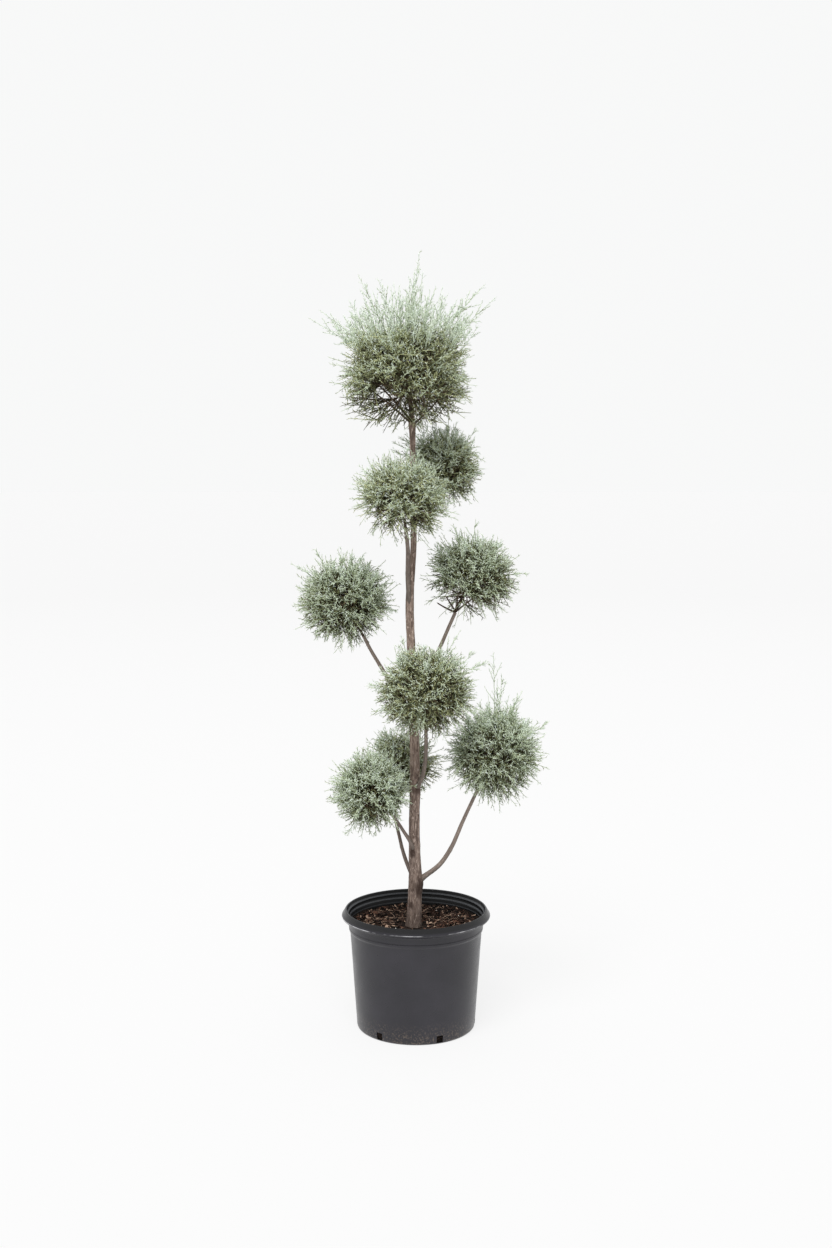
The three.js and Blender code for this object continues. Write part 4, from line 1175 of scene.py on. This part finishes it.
def grow_wood(mass, wood, chance):
    """Grows a mass's stem, limbs and twigs, and gives its limbs, its twigs and the first sprays."""
    stem = np.array([stem_at(mass, share) for share in np.linspace(0, 1, STEM_POINTS)])[None]
    wood.add(*strands(stem, np.linspace(mass["entry"][2], LIMB_RADIUS, STEM_POINTS - 1)[None]), BROWN)
    limbs, sprays = grow_limbs(mass)
    limb_bow = chance.normal(0, LIMB_BOW, limbs[0].shape)
    wood.add(*tapered(*limbs, limb_bow, LIMB_RADIUS, LIMB_END, LIMB_POINTS), BROWN)
    for line in zip(*mass["bare_limbs"]):
        root, tip = np.array(line, dtype=float)[:, None]
        bow = chance.normal(0, BARE_LIMB_BOW, (1, 3))
        wood.add(*tapered(root, tip, bow, LIMB_RADIUS, BARE_LIMB_END, LIMB_POINTS), BROWN)
    ways = even_ways(int(TWIG_SPREAD * mean_side(mass)), chance)
    roots = grown_from(mass, (*limbs, limb_bow), ways, TWIG_FIRST, chance)
    longer = np.where(ways[:, 2] < 0, mass["low_twigs"], 1)
    tips = clipped_point(mass, ways, chance.uniform(*TWIG_REACH, len(ways)) * longer)
    kept = fitting(mass, roots, tips, LIMB_MARGIN) & ~in_gap(mass, tips)
    roots, tips = roots[kept], tips[kept]
    bow = chance.normal(0, TWIG_BOW, roots.shape)
    tones = np.digitize(share_of_reach(mass, (1 - TONE_AT) * roots + TONE_AT * tips), TWIG_STEPS)
    wood.add(*tapered(roots, tips, bow, TWIG_RADIUS, TWIG_END, TWIG_POINTS), tones)
    return (*limbs, limb_bow), (roots, tips, bow), sprays


SPRAY_CUT = 1.04
SPRAY_BOW = 2
SHOOT_BOW = 1.5
TIP_JITTER = 0.17


def grow_shoots(mass, limbs, twigs, sprays, leaves, young, chance):
    """Grows the first sprays, cut at the outline, then the inner, the shorn and the young shoots."""
    heart = mass["heart"]
    roots, tips = sprays[:, fitting(mass, *sprays, LIMB_MARGIN)]
    out = (tips - heart) / mass["reach"]
    over = np.linalg.norm(out, axis=-1) / (SPRAY_CUT * cup_stretch(mass, unit(out)))
    tips = heart + (tips - heart) / np.maximum(1, over)[:, None]
    add_sprays(mass, leaves, roots, tips, chance.normal(0, SPRAY_BOW, roots.shape), SPRAY, chance)
    level, lost_inside, lost_outside = mass["thin"]
    for kind in (CORE, INNER, OUTER, YOUNG):
        ways = even_ways(int(kind["spread"] * mean_side(mass)), chance)
        roots = grown_from(mass, limbs if kind is CORE else twigs, ways, kind["leaves"], chance)
        stray = mass["low_jitter"] if kind is OUTER else TIP_JITTER
        jitter = np.where(ways[:, 2:] < 0, stray, TIP_JITTER)
        aim = unit(ways + chance.normal(0, jitter, ways.shape))
        tips = clipped_point(mass, aim, chance.uniform(*kind["reach"], len(ways)))
        kept = fitting(mass, roots, tips, SHOOT_MARGIN, kind is YOUNG) & ~leafless(mass, tips)
        kept &= ~in_gap(mass, (roots + tips) / 2)
        lost = lost_inside if kind in (CORE, INNER) else lost_outside
        kept &= (ways[:, 2] > level) | (chance.uniform(size=len(ways)) > lost)
        if kind is YOUNG:
            kept &= np.abs(ways[:, 2]) < mass["young_band"]
        roots, tips = roots[kept], tips[kept]
        bow = chance.normal(0, SHOOT_BOW, roots.shape)
        add_sprays(mass, young if kind is YOUNG else leaves, roots, tips, bow, kind, chance)


# The longest young shoots, and the crown's upright fan, have side shoots of their own
FAN_SHOOTS = 170
FAN_LOWEST = 0.42
FAN_STARTS = (0.6, 0.92)
FAN_FOOT = 110
FAN_AHEAD = 60
FAN_REACH = (0.6, 1.2)
FAN_SIDE_SHOOTS = 2
TALL_START = 0.68
TALL_SIDE_SHOOTS = 7
LONG_BOW = 2.2


def grow_long_shoots(mass, young, chance):
    """Grows the fan on top of a mass and its longest shoots, which end at given tips."""
    heart = mass["heart"]
    ways = even_ways(int(2 / (1 - FAN_LOWEST) * FAN_SHOOTS * mass["lift"]) + 2, chance)
    ways = ways[ways[:, 2] > FAN_LOWEST]
    starts = clipped_point(mass, ways, chance.uniform(*FAN_STARTS, len(ways)))
    splay = unit(starts - heart + np.array([0, 0, FAN_FOOT]))
    far = out_point(mass, unit((starts - heart + FAN_AHEAD * splay) / mass["reach"]), np.ones(len(ways)))
    height = ((far - starts) * splay).sum(-1) * chance.uniform(*FAN_REACH, len(ways))
    ends = starts + splay * height[:, None]
    kept = fitting(mass, starts, ends, SHOOT_MARGIN)
    tall_ends = np.array(mass["tips"], dtype=float)
    tall_starts = heart + (tall_ends - heart) * TALL_START / share_of_reach(mass, tall_ends)[:, None]
    for roots, tips, kind, side_shoots in [
            (tall_starts, tall_ends, TALL, TALL_SIDE_SHOOTS),
            (starts[kept], ends[kept], FAN, FAN_SIDE_SHOOTS)]:
        bow = chance.normal(0, LONG_BOW, tips.shape)
        add_sprays(mass, young, roots, tips, bow, kind, chance)
        add_side_shoots(mass, young, roots, tips, bow, side_shoots, chance)


for name, mass in masses.items():
    draws = np.random.default_rng(mass["seed"])
    wood, leaves, young = Bundle(), Bundle(), Bundle()
    limbs, twigs, sprays = grow_wood(mass, wood, draws)
    grow_shoots(mass, limbs, twigs, sprays, leaves, young, draws)
    grow_long_shoots(mass, young, draws)
    standing_for(wood.joined(name + "_twigs", twig_materials), "bark", name)
    standing_for(leaves.joined(name + "_sprays", leaf_materials), "foliage", name)
    standing_for(young.joined(name + "_shoots", leaf_materials), "foliage", name)

# Floor and light
# A plain white studio: one pale sheet of floor, a white room all round, and a broad soft light above
# the plant a little to the left.
FLOOR_HALF = 60000
floor_paint, tree, main = shader("floor_paint", 0.9, 0.1)
main.inputs["Base Color"].default_value = (0.12, 0.12, 0.12, 1)
main.inputs["Emission Color"].default_value = (1, 1, 1, 1)
place = node(tree, "ShaderNodeTexCoord").outputs["Object"]
away = reckoned_vector(tree, "LENGTH", place)["Value"]
tree.links.new(ramp(tree, away, 0.5, 12.0, 0.8, 0.749), main.inputs["Emission Strength"])
corners = FLOOR_HALF * np.array([(-1, -1, 0), (1, -1, 0), (1, 1, 0), (-1, 1, 0)])
floor = mesh_piece("floor", corners, np.array([[0, 1, 2, 3]]), [floor_paint])

world = bpy.data.worlds.new("white_room")
world.use_nodes = True
tree = world.node_tree
room_light = tree.nodes["Background"]
room_light.inputs["Strength"].default_value = 0.7
room_light.inputs["Color"].default_value = (1, 1, 1, 1)
backdrop = node(tree, "ShaderNodeBackground", {"Color": (0.938, 0.942, 0.940, 1), "Strength": 1.0})
seen = node(tree, "ShaderNodeLightPath").outputs["Is Camera Ray"]
choice = node(tree, "ShaderNodeMixShader", {
    0: seen, 1: room_light.outputs["Background"], 2: backdrop.outputs["Background"]})
tree.links.new(choice.outputs["Shader"], tree.nodes["World Output"].inputs["Surface"])
bpy.context.scene.world = world

lamp = bpy.data.objects.new("soft_light", bpy.data.lights.new("soft_light", "SUN"))
lamp.data.energy = 2.7
lamp.data.angle = math.radians(32)
lamp.rotation_euler = (math.radians(30), 0, math.radians(-14))
lamp.visible_glossy = False
bpy.context.scene.collection.objects.link(lamp)
bpy.context.scene.view_settings.view_transform = "Standard"
